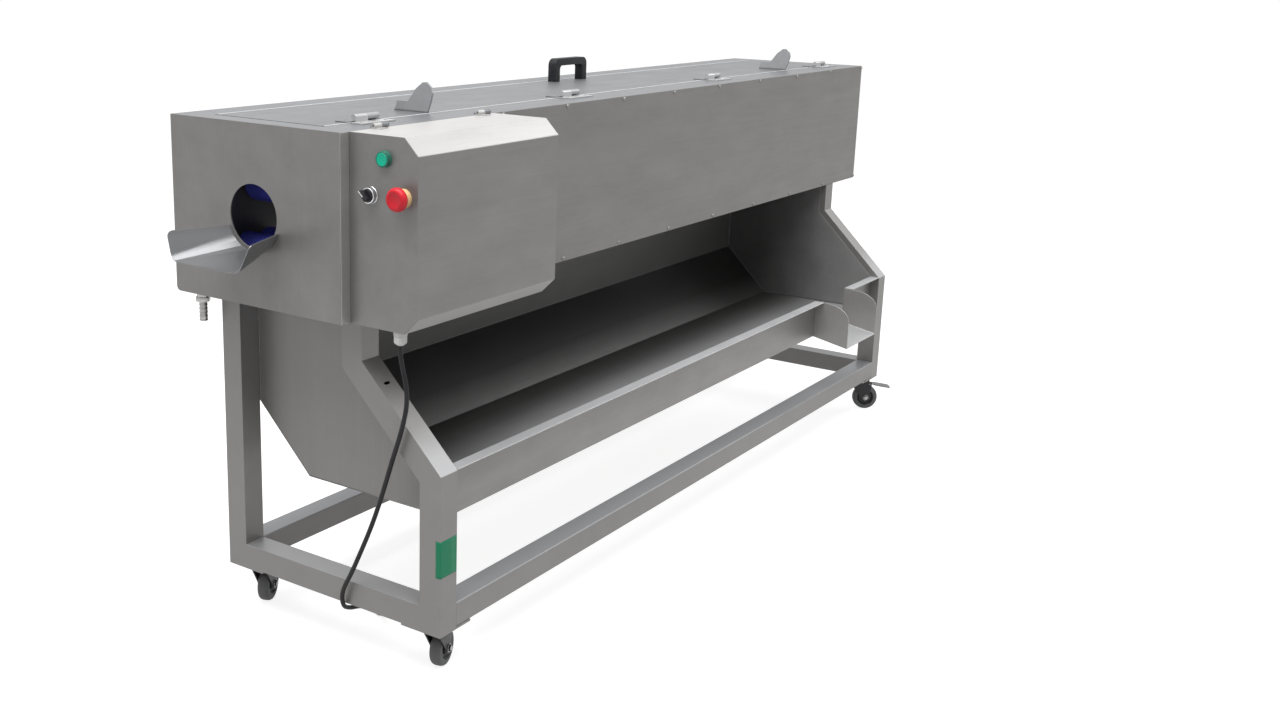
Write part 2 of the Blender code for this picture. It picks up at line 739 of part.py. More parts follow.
def slope_slot(middle_x):
    """A cutter for the slotted hole in the upper face of the sloping tube."""
    half = (SLOT_LENGTH - SLOT_WIDTH) / 2
    radius = SLOT_WIDTH / 2
    outline = arc((half, 0), radius, -90, 90, 6) + arc((-half, 0), radius, 90, 270, 6)
    slot = flat("slot", outline, "Z", -TUBE_WALL - OVERRUN, OVERRUN)
    down = slope_direction()
    centre = Vector((0, -POST_DROP)) + down * SLOT_FROM_TOP
    along = Vector((0, down.x, down.y))
    outward = X_AXIS.cross(along) if X_AXIS.cross(along).z > 0 else along.cross(X_AXIS)
    across = outward.cross(along)
    turn = Matrix((across, -along, outward)).transposed().to_4x4()
    slot.matrix_local = Matrix.Translation((middle_x, centre.x, centre.y)) @ turn
    return slot


def make_end_frames():
    left = end_frame("left_end_frame", FRAME_LEFT_X, FRAME_LEFT_X)
    cut(left, slope_slot(FRAME_LEFT_X + TUBE / 2))
    as_part(left, "left_end_frame", STEEL)
    right = end_frame("right_end_frame", FRAME_RIGHT_X - TUBE, FRAME_RIGHT_X - CASTER_PLATE)
    as_part(right, "right_end_frame", STEEL)


def make_bottom_rail(name, y_start):
    """A square tube, open at both ends, between the end frames."""
    start_x = FRAME_LEFT_X + TUBE + GAP
    end_x = FRAME_RIGHT_X - TUBE - GAP
    low = (y_start, FRAME_BOTTOM + WELD + GAP)
    high = (low[0] + TUBE, low[1] + TUBE)
    inner_low = (low[0] + TUBE_WALL, low[1] + TUBE_WALL)
    inner_high = (high[0] - TUBE_WALL, high[1] - TUBE_WALL)
    rail = flat(name, rectangle(low, high), "X", start_x, end_x, [rectangle(inner_low, inner_high)])
    as_part(rail, name, STEEL)


# Peel trough


def trough_path():
    """The outer line of the trough in (y, z), from the back wall's top round to the lip's edge."""
    return [
        (FRAME_BACK_Y - TUBE - GAP, -GAP),
        (FRAME_BACK_Y - TUBE - GAP, -TROUGH_WALL_DROP),
        (TROUGH_FOLD_Y, -TROUGH_DEPTH),
        (TROUGH_FRONT_Y, -TROUGH_DEPTH),
        (TROUGH_FRONT_Y, -TROUGH_LIP_DROP),
        (TROUGH_LIP_Y, -TROUGH_LIP_DROP),
    ]


def trough_ends_x():
    return FRAME_LEFT_X + TUBE + GAP, FRAME_RIGHT_X - TUBE - GAP


def make_peel_trough():
    start_x, end_x = trough_ends_x()
    path = trough_path()[::-1]
    trough = folded_sheet("peel_trough", path, "X", start_x, end_x)
    low = (SPOUT_START_X - GAP, TROUGH_LIP_Y - OVERRUN, -TROUGH_DEPTH - OVERRUN)
    high = (SPOUT_END_X + GAP, TROUGH_FRONT_Y + SHEET, -TROUGH_LIP_DROP + OVERRUN)
    as_part(cut(trough, block("spout_cut", low, high)), "peel_trough", STEEL)


def make_trough_end(name, start_x):
    """A flat plate that closes one end of the trough, set inside its folds."""
    inside = offset_path(trough_path()[::-1], SHEET + GAP)[::-1]
    down = slope_direction()
    inward = Vector((-down.y, down.x)) if down.y < 0 < -down.y else Vector((down.y, -down.x))
    start = Vector((0, -POST_DROP)) + inward * TROUGH_END_INSET
    front_wall_y = inside[4][0]
    knee = start + down * (TROUGH_END_INSET - start.x) / down.x
    foot = start + down * (front_wall_y - start.x) / down.x
    outline = [inside[0], inside[1], inside[2], inside[3], tuple(foot), tuple(knee), (knee.x, -GAP)]
    as_part(flat(name, outline, "X", start_x, start_x + SHEET), name, STEEL)


def make_peel_spout():
    """A chute through the trough's front wall: two cheeks with a rounded shoulder and a sloping floor."""
    back_y = TROUGH_FRONT_Y + SHEET - GAP
    floor_slope = (SPOUT_FLOOR_DROP - TROUGH_DEPTH) / (TROUGH_FRONT_Y - SPOUT_FRONT_Y)
    back_floor = -TROUGH_DEPTH + floor_slope * (back_y - TROUGH_FRONT_Y)
    shoulder_steps = 5
    shoulder = [
        (
            SPOUT_BEND_Y + (SPOUT_FRONT_Y - SPOUT_BEND_Y) * math.sin(math.radians(90 * step / shoulder_steps)),
            -TROUGH_LIP_DROP
            - (SPOUT_SHOULDER_DROP - TROUGH_LIP_DROP) * (1 - math.cos(math.radians(90 * step / shoulder_steps))),
        )
        for step in range(shoulder_steps + 1)
    ]
    cheek = [(back_y, -TROUGH_LIP_DROP), *shoulder, (SPOUT_FRONT_Y, -SPOUT_FLOOR_DROP), (back_y, back_floor)]
    bm = bmesh.new()
    left = [bm.verts.new((SPOUT_START_X, y, z)) for y, z in cheek]
    right = [bm.verts.new((SPOUT_END_X, y, z)) for y, z in cheek]
    bm.faces.new(left[::-1])
    bm.faces.new(right)
    bm.faces.new((left[-1], right[-1], right[-2], left[-2]))
    bmesh.ops.recalc_face_normals(bm, faces=bm.faces)
    if left[0].link_faces[0].normal.x < 0:
        bmesh.ops.reverse_faces(bm, faces=bm.faces)
    spout = solidify(helper("peel_spout", mesh_from(bm, "peel_spout")), SHEET)
    trim_low = (SPOUT_START_X - OVERRUN, SPOUT_FRONT_Y - OVERRUN, -SPOUT_FLOOR_DROP - OVERRUN)
    trim = block("spout_trim", trim_low, (SPOUT_END_X + OVERRUN, SPOUT_FRONT_Y, -TROUGH_LIP_DROP))
    as_part(cut(spout, trim), "peel_spout", STEEL)


# Housing


def end_plate_outline():
    front_y = SHEET + GAP
    corner = arc((HOUSING_DEPTH - BACK_BEND, BACK_BEND), BACK_BEND, -90, 0, 6)
    return [(front_y, HOUSING_HEIGHT), (front_y, 0), *corner, (HOUSING_DEPTH, HOUSING_HEIGHT)]


def make_end_plate(name, start_x):
    tunnel = circle((TUNNEL_Y, TUNNEL_Z), TUNNEL_RADIUS, SIDES_TUNNEL)
    plate = flat(name, end_plate_outline(), "X", start_x, start_x + END_SHEET, [tunnel])
    as_part(plate, name, STEEL)


def make_front_panel():
    outline = rectangle((0, 0), (HOUSING_LENGTH, HOUSING_HEIGHT))
    hole = circle((SHAFT_X, DRIVE_Z), SHAFT_HOLE_RADIUS)
    as_part(flat("front_panel", outline, "Y", 0, SHEET, [hole]), "front_panel", STEEL)


def make_back_panel():
    """Back wall, rounded bottom corner and bottom lip in one bent sheet."""
    corner = arc((HOUSING_DEPTH - BACK_BEND, BACK_BEND), BACK_BEND, -90, 0, 6)
    path = [(BACK_LIP_Y, 0), *corner, (HOUSING_DEPTH, HOUSING_HEIGHT)]
    inset = END_SHEET + GAP
    panel = folded_sheet("back_panel", path, "X", inset, HOUSING_LENGTH - inset)
    hole = rod(
        "pipe_hole", (PIPE_X, PIPE_Y, -OVERRUN), (PIPE_X, PIPE_Y, SHEET + OVERRUN), BARB_SEAT_RADIUS + GAP
    )
    as_part(cut(panel, hole), "back_panel", STEEL)


def ring(x_inset, front_y, back_y, z):
    return [
        (x_inset, front_y, z),
        (HOUSING_LENGTH - x_inset, front_y, z),
        (HOUSING_LENGTH - x_inset, back_y, z),
        (x_inset, back_y, z),
    ]


def box_hinge_fixed(x):
    """The fixed half of a cover hinge: a leaf on the rim, a knuckle before it and a pin."""
    axis_y, axis_z = COVER_AXIS.y, COVER_AXIS.z
    bottom = HOUSING_HEIGHT + GAP
    back_y = SHEET + GAP + BOX_HINGE_LEAF
    end = (x + BOX_HINGE_KNUCKLE_LENGTH, axis_y, axis_z)
    leaf = block("box_hinge_leaf", (x, axis_y, bottom), (end[0], back_y, bottom + SHEET))
    pad_low = (x, SHEET + GAP + BOX_HINGE_PAD, HOUSING_HEIGHT - WELD)
    pad = block("box_hinge_pad", pad_low, (end[0], back_y, bottom + SHEET))
    knuckle = rod("box_hinge_knuckle", (x, axis_y, axis_z), end, BOX_HINGE_KNUCKLE_RADIUS, SIDES_SMALL)
    pin = rod("box_hinge_pin", (x - BOX_HINGE_KNUCKLE_LENGTH, axis_y, axis_z), end, BOX_HINGE_PIN_RADIUS, SIDES_PIN)
    return leaf, pad, knuckle, pin


def make_top_rim():
    """The frame round the lid opening: skirt, top, opening wall and ledge, folded from one sheet."""
    side = END_SHEET + GAP
    front_y = SHEET + GAP
    back_y = HOUSING_DEPTH - SHEET - GAP
    ledge_z = HOUSING_HEIGHT - LEDGE_DEPTH
    rings = [
        ring(side, front_y, back_y, HOUSING_HEIGHT - RIM_SKIRT),
        ring(side, front_y, back_y, HOUSING_HEIGHT),
        ring(OPENING_X_MARGIN, OPENING_FRONT_Y, OPENING_BACK_Y, HOUSING_HEIGHT),
        ring(OPENING_X_MARGIN, OPENING_FRONT_Y, OPENING_BACK_Y, ledge_z),
        ring(
            OPENING_X_MARGIN + LEDGE_WIDTH, OPENING_FRONT_Y + LEDGE_WIDTH, OPENING_BACK_Y - LEDGE_WIDTH, ledge_z
        ),
    ]
    bm = bmesh.new()
    rows = [[bm.verts.new(point) for point in points] for points in rings]
    for lower, upper in zip(rows, rows[1:]):
        for index in range(4):
            after = (index + 1) % 4
            bm.faces.new((lower[after], lower[index], upper[index], upper[after]))
    rim = solidify(helper("top_rim", mesh_from(bm, "top_rim")), SHEET)
    for x in BOX_HINGE_X_PLACES:
        fuse(rim, *box_hinge_fixed(x))
    as_part(rim, "top_rim", STEEL)


def make_feed_tray():
    """A fan-folded tray from the inlet hole's lower arc out to a wide, flat-bottomed end."""
    steps = 10
    half = math.degrees(math.acos((TUNNEL_Z - TRAY_TOP_Z) / TRAY_ARC_RADIUS))
    root = arc((TUNNEL_Y, TUNNEL_Z), TRAY_ARC_RADIUS, -90 - half, -90 + half, steps)
    front_top, back_top = TRAY_END_TOP_Y
    front_bottom, back_bottom = TRAY_END_BOTTOM_Y
    corners = [
        Vector((front_top, TRAY_TOP_Z)),
        Vector((front_bottom, TRAY_END_BOTTOM_Z)),
        Vector((back_bottom, TRAY_END_BOTTOM_Z)),
        Vector((back_top, TRAY_TOP_Z)),
    ]
    tip = rounded([tuple(corner) for corner in corners], TRAY_END_BEND, 3)[4:12]
    tip = [corners[0], *[Vector(point) for point in tip], corners[3]]
    tip.insert(5, (tip[4] + tip[5]) / 2)
    bm = bmesh.new()
    inner = [bm.verts.new((OVERRUN, y, z)) for y, z in root]
    outer = [bm.verts.new((-TRAY_REACH, y, z)) for y, z in tip]
    for index in range(steps):
        bm.faces.new((inner[index], inner[index + 1], outer[index + 1], outer[index]))
    bmesh.ops.bevel(
        bm, geom=[outer[0], outer[-1]], offset=TRAY_CORNER, segments=4, profile=0.5, affect="VERTICES"
    )
    bmesh.ops.recalc_face_normals(bm, faces=bm.faces)
    lowest = min(bm.faces, key=lambda face: face.calc_center_median().z)
    if lowest.normal.z > 0:
        bmesh.ops.reverse_faces(bm, faces=bm.faces)
    tray = solidify(helper("feed_tray", mesh_from(bm, "feed_tray")), SHEET)
    trim_low = (-GAP, front_top - OVERRUN, TRAY_END_BOTTOM_Z - SHEET - OVERRUN)
    trim = block("tray_trim", trim_low, (2 * OVERRUN, back_top + OVERRUN, TUNNEL_Z))
    as_part(cut(tray, trim), "feed_tray", STEEL)


def make_water_pipe():
    """The hose barb under the inlet end, the riser and the spray pipe over the rollers."""
    profile = [(0, PIPE_BEND), (BARB_SEAT_RADIUS, PIPE_BEND), (BARB_SEAT_RADIUS, -GAP), (BARB_COLLAR_RADIUS, -GAP)]
    profile += [(BARB_COLLAR_RADIUS, -BARB_COLLAR_LENGTH), (BARB_RADIUS, -BARB_COLLAR_LENGTH)]
    ridge_length = BARB_LENGTH / BARB_RIDGES
    for index in range(BARB_RIDGES):
        top = -BARB_COLLAR_LENGTH - index * ridge_length
        profile += [(BARB_RADIUS + BARB_RIDGE, top - ridge_length / 2), (BARB_RADIUS, top - ridge_length)]
    profile += [(0, profile[-1][1])]
    barb = turned("water_pipe", profile, (PIPE_X, PIPE_Y, 0), Z_AXIS, SIDES_SMALL)
    bend = [
        (PIPE_X + PIPE_BEND - PIPE_BEND * math.cos(angle), PIPE_Y, PIPE_TOP_Z - PIPE_BEND * (1 - math.sin(angle)))
        for angle in [math.radians(30 * step) for step in range(4)]
    ]
    line = [(PIPE_X, PIPE_Y, PIPE_BEND / 2), *bend, (PIPE_END_X, PIPE_Y, PIPE_TOP_Z)]
    pieces = [tube("riser", line, PIPE_RADIUS, 1)]
    for x in KNIFE_X_PLACES:
        start = (x - NOZZLE_SETBACK, PIPE_Y, PIPE_TOP_Z)
        end = (start[0], PIPE_Y - PIPE_RADIUS - NOZZLE_LENGTH, PIPE_TOP_Z)
        pieces.append(rod("nozzle", start, end, NOZZLE_RADIUS, SIDES_PIN))
    as_part(fuse(barb, *pieces), "water_pipe", MACHINED)


# Lid and its hinges


def hinge_web(x_start, x_end, y_start, y_end, bottom):
    return block("hinge_web", (x_start, y_start, bottom), (x_end, y_end, LID_AXIS.z))


def make_lid_hinge(name, x):
    """The fixed half of a lid hinge: leaf on the rim, knuckle and pin."""
    bottom = HOUSING_HEIGHT + GAP
    half = HINGE_LEAF_LENGTH / 2
    knuckle_y = LID_AXIS.y - HINGE_KNUCKLE_RADIUS
    leaf_end_y = knuckle_y + HINGE_WEB
    leaf = block(name, (x - half, HINGE_FIXED_LEAF_Y, bottom), (x + half, leaf_end_y, bottom + HINGE_LEAF_SHEET))
    start = x - HINGE_KNUCKLE_LENGTH
    web = hinge_web(start, x, knuckle_y, leaf_end_y, bottom)
    axis = LID_AXIS
    knuckle = rod("knuckle", (start, axis.y, axis.z), (x, axis.y, axis.z), HINGE_KNUCKLE_RADIUS, SIDES_SMALL)
    pin_end = (x + HINGE_KNUCKLE_LENGTH, axis.y, axis.z)
    pin = rod("pin", (start, axis.y, axis.z), pin_end, HINGE_PIN_RADIUS, SIDES_PIN)
    as_part(fuse(leaf, web, knuckle, pin), name, STEEL)


def make_fin(x):
    """A stop fin, a horn over the hinge line with a low tail: with the lid open it lands on the rim."""
    base = LID_TOP - WELD
    outline = [
        (LID_AXIS.y + reach_share * FIN_TAIL_REACH, base + height_share * FIN_HEIGHT)
        for reach_share, height_share in FIN_FRONT_SHARES + FIN_TAIL_SHARES
    ]
    return flat("fin", outline, "X", x - FIN_THICKNESS / 2, x + FIN_THICKNESS / 2)


def moving_hinge_half(x):
    """The lid's half of a hinge, which turns on the fixed half's pin."""
    start = x + GAP
    end = x + HINGE_KNUCKLE_LENGTH
    web_end_y = LID_AXIS.y + HINGE_KNUCKLE_RADIUS
    web_start_y = web_end_y - HINGE_WEB
    bottom = LID_TOP - WELD
    half = HINGE_LEAF_LENGTH / 2
    leaf_low = (x - half, web_start_y + GAP, bottom)
    leaf = block("moving_leaf", leaf_low, (x + half, HINGE_MOVING_LEAF_Y, LID_TOP + HINGE_LEAF_SHEET))
    web = hinge_web(start, end, web_start_y, web_end_y, bottom)
    outer = circle((LID_AXIS.y, LID_AXIS.z), HINGE_KNUCKLE_RADIUS, SIDES_SMALL)
    bore = circle((LID_AXIS.y, LID_AXIS.z), HINGE_PIN_RADIUS + GAP, SIDES_PIN)
    knuckle = flat("moving_knuckle", outer, "X", start, end, [bore])
    return leaf, web, knuckle


def make_lid():
    """A shallow pan, open below, that rests on the rim's ledge, with its stop fins and hinge halves."""
    low = Vector((LID_START_X, LID_FRONT_Y, HOUSING_HEIGHT - LEDGE_DEPTH + GAP))
    high = Vector((LID_END_X, LID_BACK_Y, LID_TOP))
    bm = bmesh.new()
    bmesh.ops.create_cube(bm, size=1)
    bmesh.ops.scale(bm, vec=high - low, verts=bm.verts)
    bmesh.ops.translate(bm, vec=(high + low) / 2, verts=bm.verts)
    bottom = [face for face in bm.faces if face.normal.z < 0]
    bmesh.ops.delete(bm, geom=bottom, context="FACES_ONLY")
    corners = [edge for edge in bm.edges if abs(edge.verts[0].co.z - edge.verts[1].co.z) > SHEET]
    bmesh.ops.bevel(bm, geom=corners, offset=LID_CORNER, segments=2, profile=0.5, affect="EDGES")
    bmesh.ops.reverse_faces(bm, faces=bm.faces)
    lid = solidify(helper("lid", mesh_from(bm, "lid")), SHEET)
    for x in FIN_X_PLACES:
        fuse(lid, make_fin(x))
    for x in HINGE_X_PLACES:
        fuse(lid, *moving_hinge_half(x))
    return as_part(lid, "lid", STEEL, LID_AXIS)


def make_lid_handle():
    """A bridge handle: two legs and a grip, rounded at every corner."""
    start = HANDLE_X - HANDLE_LENGTH / 2
    end = HANDLE_X + HANDLE_LENGTH / 2
    base = LID_TOP + GAP
    top = base + HANDLE_HEIGHT
    outer = (
        [(start, base), (start + HANDLE_LEG, base)]
        + arc(
            (start + HANDLE_LEG + HANDLE_INNER_CORNER, top - HANDLE_GRIP - HANDLE_INNER_CORNER),
            HANDLE_INNER_CORNER,
            180,
            90,
            3,
        )
        + arc(
            (end - HANDLE_LEG - HANDLE_INNER_CORNER, top - HANDLE_GRIP - HANDLE_INNER_CORNER),
            HANDLE_INNER_CORNER,
            90,
            0,
            3,
        )
        + [(end - HANDLE_LEG, base), (end, base)]
        + arc((end - HANDLE_CORNER, top - HANDLE_CORNER), HANDLE_CORNER, 0, 90, 5)
        + arc((start + HANDLE_CORNER, top - HANDLE_CORNER), HANDLE_CORNER, 90, 180, 5)
    )
    handle = flat("lid_handle", outer, "Y", HANDLE_Y - HANDLE_DEPTH / 2, HANDLE_Y + HANDLE_DEPTH / 2)
    rounding = handle.modifiers.new("rounding", "BEVEL")
    rounding.width = HANDLE_DEPTH / 7
    rounding.segments = 1
    rounding.limit_method = "ANGLE"
    rounding.angle_limit = math.radians(40)
    return as_part(handle, "lid_handle", BLACK_PLASTIC, LID_AXIS)


# Control box


def box_path():
    """The cover's outer line in (y, z): top, upper chamfer, front and lower chamfer."""
    return [
        (-GAP, HOUSING_HEIGHT),
        (-BOX_DEPTH + BOX_CHAMFER, HOUSING_HEIGHT),
        (-BOX_DEPTH, HOUSING_HEIGHT - BOX_CHAMFER),
        (-BOX_DEPTH, BOX_CHAMFER),
        (-BOX_DEPTH + BOX_CHAMFER, 0),
    ]


def box_hinge_moving(x):
    """The cover's half of a hinge, bored for the fixed half's pin."""
    start = x - BOX_HINGE_KNUCKLE_LENGTH
    end = x - GAP
    axis_y, axis_z = COVER_AXIS.y, COVER_AXIS.z
    leaf_low = (start, axis_y - BOX_HINGE_LEAF, HOUSING_HEIGHT - WELD)
    leaf = block("cover_leaf", leaf_low, (end, axis_y - BOX_HINGE_PIN_RADIUS - WELD, HOUSING_HEIGHT + SHEET))
    outer = circle((axis_y, axis_z), BOX_HINGE_KNUCKLE_RADIUS, SIDES_SMALL)
    bore = circle((axis_y, axis_z), BOX_HINGE_PIN_RADIUS + GAP, SIDES_PIN)
    return leaf, flat("cover_knuckle", outer, "X", start, end, [bore])


def make_control_cover():
    """Top, front and both end walls in one shell, open to the panel behind and to the floor below."""
    path = box_path()
    bm = bmesh.new()
    rows = [[bm.verts.new((x, y, z)) for y, z in path] for x in (BOX_START_X, BOX_END_X)]
    feet = [bm.verts.new((x, -GAP, 0)) for x in (BOX_START_X, BOX_END_X)]
    for index in range(len(path) - 1):
        bm.faces.new((rows[0][index], rows[0][index + 1], rows[1][index + 1], rows[1][index]))
    for row, foot in zip(rows, feet):
        bm.faces.new((*row, foot))
    bmesh.ops.recalc_face_normals(bm, faces=bm.faces)
    left_wall = min(bm.faces, key=lambda face: face.calc_center_median().x)
    if left_wall.normal.x < 0:
        bmesh.ops.reverse_faces(bm, faces=bm.faces)
    cover = solidify(helper("control_cover", mesh_from(bm, "control_cover")), SHEET)
    for x in BOX_HINGE_X_PLACES:
        fuse(cover, *box_hinge_moving(x))
    for y, z in (START_PLACE, SELECTOR_PLACE, ESTOP_PLACE):
        low = (BOX_START_X - OVERRUN, y, z)
        cut(cover, rod("control_hole", low, (BOX_START_X + SHEET + OVERRUN, y, z), CONTROL_HOLE_RADIUS, SIDES_SMALL))
    return as_part(cover, "control_cover", STEEL, COVER_AXIS)


def make_control_box_floor():
    start_x = BOX_START_X + SHEET + BOX_FLOOR_PLAY
    end_x = BOX_END_X - SHEET - BOX_FLOOR_PLAY
    front_y = -BOX_DEPTH + BOX_CHAMFER + SHEET * math.sqrt(0.5) + GAP
    path = [(front_y, 0), (-GAP, 0), (-GAP, BOX_UPSTAND)]
    floor = folded_sheet("control_box_floor", path, "X", start_x, end_x)
    x, y = GLAND_PLACE
    hole = rod("gland_hole", (x, y, -OVERRUN), (x, y, SHEET + OVERRUN), GLAND_HOLE_RADIUS)
    as_part(cut(floor, hole), "control_box_floor", STEEL)


def make_cable_gland():
    """Nut, thread, body and cap, with the short strain relief that the cord leaves by."""
    top = SHEET + GAP
    body_end = -GAP - GLAND_BODY_LENGTH
    cap_end = body_end - GLAND_CAP_LENGTH
    dome_end = cap_end - GLAND_DOME_LENGTH
    tip_end = dome_end - GLAND_TIP_LENGTH
    profile = [
        (0, top + GLAND_NUT_THICKNESS),
        (GLAND_NUT_RADIUS, top + GLAND_NUT_THICKNESS),
        (GLAND_NUT_RADIUS, top),
        (GLAND_THREAD_RADIUS, top),
        (GLAND_THREAD_RADIUS, -GAP),
        (GLAND_BODY_RADIUS, -GAP),
        (GLAND_BODY_RADIUS, body_end),
        (GLAND_CAP_RADIUS, body_end),
        (GLAND_CAP_RADIUS, cap_end),
        (GLAND_CAP_RADIUS - GLAND_DOME_LENGTH, dome_end),
        (GLAND_TIP_RADIUS, dome_end),
        (GLAND_TIP_RADIUS, tip_end),
        (0, tip_end),
    ]
    gland = turned("cable_gland", profile, (*GLAND_PLACE, 0), Z_AXIS, SIDES_SMALL)
    as_part(gland, "cable_gland", WHITE_PLASTIC)


def bezel_profile(outer_radius, height, bore_radius, pocket_radius=None, pocket_floor=0):
    """A ring in front of the wall, a barrel through it and a nut behind, round a bore."""
    nut_front = -SHEET - GAP
    nut_back = nut_front - NUT_THICKNESS
    profile = [
        (outer_radius - BEZEL_ROUND, height),
        (outer_radius, height - BEZEL_ROUND),
        (outer_radius, GAP),
        (BARREL_RADIUS, GAP),
        (BARREL_RADIUS, nut_front),
        (NUT_RADIUS, nut_front),
        (NUT_RADIUS, nut_back),
        (BARREL_RADIUS, nut_back),
        (BARREL_RADIUS, -BARREL_LENGTH),
        (bore_radius, -BARREL_LENGTH),
    ]
    if pocket_radius is None:
        return profile + [(bore_radius, height)]
    return profile + [(bore_radius, pocket_floor), (pocket_radius, pocket_floor), (pocket_radius, height)]


def control_centre(place):
    return (BOX_START_X, place[0], place[1])


def make_start_control():
    centre = control_centre(START_PLACE)
    profile = bezel_profile(
        START_BEZEL_RADIUS, START_BEZEL_HEIGHT, STEM_RADIUS + GAP, START_POCKET_RADIUS, START_POCKET_FLOOR
    )
    bezel = as_part(turned("start_bezel", profile, centre, -X_AXIS, SIDES_SMALL), "start_bezel", DARK_GREEN_PLASTIC)
    bottom = START_POCKET_FLOOR + START_TRAVEL + GAP
    edge = START_CAP_RADIUS - START_CAP_ROUND / 3
    cap = [
        (0, START_CAP_TOP),
        (START_CAP_RADIUS - START_CAP_ROUND, START_CAP_TOP - START_CAP_ROUND / 6),
        (edge, START_CAP_TOP - START_CAP_ROUND / 2),
        (START_CAP_RADIUS, START_CAP_TOP - START_CAP_ROUND),
        (START_CAP_RADIUS, bottom),
        (STEM_RADIUS, bottom),
        (STEM_RADIUS, -STEM_LENGTH),
        (0, -STEM_LENGTH),
    ]
    button = as_part(turned("start_button", cap, centre, -X_AXIS, SIDES_SMALL), "start_button", GREEN_PLASTIC)
    return bezel, button


def make_selector_control():
    centre = control_centre(SELECTOR_PLACE)
    profile = bezel_profile(SELECTOR_BEZEL_RADIUS, SELECTOR_BEZEL_HEIGHT, STEM_RADIUS + GAP)
    bezel = as_part(turned("selector_bezel", profile, centre, -X_AXIS, SIDES_SMALL), "selector_bezel", CHROME)
    bottom = SELECTOR_BEZEL_HEIGHT + GAP
    top = bottom + SELECTOR_KNOB_HEIGHT
    disc = [
        (0, top),
        (SELECTOR_KNOB_RADIUS - BEZEL_ROUND, top),
        (SELECTOR_KNOB_RADIUS, top - BEZEL_ROUND),
        (SELECTOR_KNOB_RADIUS, bottom),
        (STEM_RADIUS, bottom),
        (STEM_RADIUS, -STEM_LENGTH),
        (0, -STEM_LENGTH),
    ]
    knob = turned("selector_knob", disc, centre, -X_AXIS, SIDES_SMALL)
    half_width = SELECTOR_LEVER_WIDTH / 2
    reach = SELECTOR_KNOB_RADIUS - half_width
    outline = arc((reach, 0), half_width, -90, 90, 5) + arc((-reach, 0), half_width, 90, 270, 5)
    turn = Matrix.Rotation(SELECTOR_REST_ANGLE, 2)
    outline = [tuple(turn @ Vector(point) + Vector(SELECTOR_PLACE)) for point in outline]
    start = BOX_START_X - top - SELECTOR_LEVER_HEIGHT
    lever = flat("lever", outline, "X", start, BOX_START_X - top + WELD)
    return bezel, as_part(fuse(knob, lever), "selector_knob", BLACK_PLASTIC)


def make_estop_control():
    centre = control_centre(ESTOP_PLACE)
    profile = bezel_profile(ESTOP_BASE_RADIUS, ESTOP_BASE_HEIGHT, ESTOP_STEM_RADIUS + GAP)
    base = as_part(turned("estop_base", profile, centre, -X_AXIS, SIDES_SMALL), "estop_base", YELLOW_PLASTIC)
    edge_top = ESTOP_HEAD_BOTTOM + ESTOP_HEAD_EDGE
    dome = ESTOP_HEAD_TOP - edge_top
    mushroom = [(0, ESTOP_HEAD_TOP)]
    for step in (1, 2, 3, 4):
        angle = math.radians(90 * step / 4)
        mushroom.append((ESTOP_HEAD_RADIUS * math.sin(angle), edge_top + dome * math.cos(angle)))
    mushroom += [
        (ESTOP_HEAD_RADIUS, ESTOP_HEAD_BOTTOM + BEZEL_ROUND),
        (ESTOP_HEAD_RADIUS - BEZEL_ROUND, ESTOP_HEAD_BOTTOM),
        (ESTOP_STEM_RADIUS, ESTOP_HEAD_BOTTOM),
        (ESTOP_STEM_RADIUS, -STEM_LENGTH),
        (0, -STEM_LENGTH),
    ]
    head = as_part(turned("estop_head", mushroom, centre, -X_AXIS), "estop_head", RED_PLASTIC)
    return base, head


# Drive


def sprocket(name, x):
    """Teeth by formula: each has a root, two flanks and a narrow tip."""
    outline = []
    step = 2 * math.pi / SPROCKET_TEETH
    for tooth in range(SPROCKET_TEETH):
        for turn_share, radius in SPROCKET_TOOTH_SHARES:
            angle = (tooth + turn_share) * step
            outline.append((x + radius * math.cos(angle), DRIVE_Z + radius * math.sin(angle)))
    return flat(name, outline, "Y", SPROCKET_FRONT_Y, SPROCKET_FRONT_Y + SPROCKET_WIDTH)


def make_drive_shaft():
    start = (SHAFT_X, DRIVE_SHAFT_FRONT_Y, DRIVE_Z)
    shaft = rod("drive_shaft", start, (SHAFT_X, DRIVE_SHAFT_BACK_Y, DRIVE_Z), DRIVE_SHAFT_RADIUS)
    fuse(shaft, sprocket("sprocket", SHAFT_X))
    as_part(shaft, "drive_shaft", MACHINED, (SHAFT_X, 0, DRIVE_Z))


def roller_profile(radius, shaft_radius, front_y, back_y, start_y, end_y):
    """A rubber-covered roller on a thinner shaft, in (radius, -y)."""
    return [
        (0, -start_y),
        (shaft_radius, -start_y),
        (shaft_radius, -front_y),
        (radius, -front_y),
        (radius, -back_y),
        (shaft_radius, -back_y),
        (shaft_radius, -end_y),
        (0, -end_y),
    ]


def make_lower_roller(name, x):
    end_y = BACK_BEAM_Y + BEAM_SHEET + BOSS_LENGTH
    profile = roller_profile(
        LOWER_ROLLER_RADIUS, LOWER_SHAFT_RADIUS, ROLLER_FRONT_Y, ROLLER_BACK_Y, LOWER_SHAFT_FRONT_Y, end_y
    )
    roller = turned(name, profile, (x, 0, DRIVE_Z), -Y_AXIS)
    as_part(fuse(roller, sprocket("sprocket", x)), name, BLUE_RUBBER)


def make_upper_roller(name, x):
    play = (ROLLER_FRONT_Y - ARM_FRONT_Y) / 6
    profile = roller_profile(
        UPPER_ROLLER_RADIUS,
        UPPER_SHAFT_RADIUS,
        ROLLER_FRONT_Y,
        ROLLER_BACK_Y,
        ARM_FRONT_Y - play,
        ARM_BACK_Y + play,
    )
    roller = turned(name, profile, (x, 0, UPPER_ROLLER_Z), -Y_AXIS)
    return as_part(roller, name, BLUE_RUBBER)


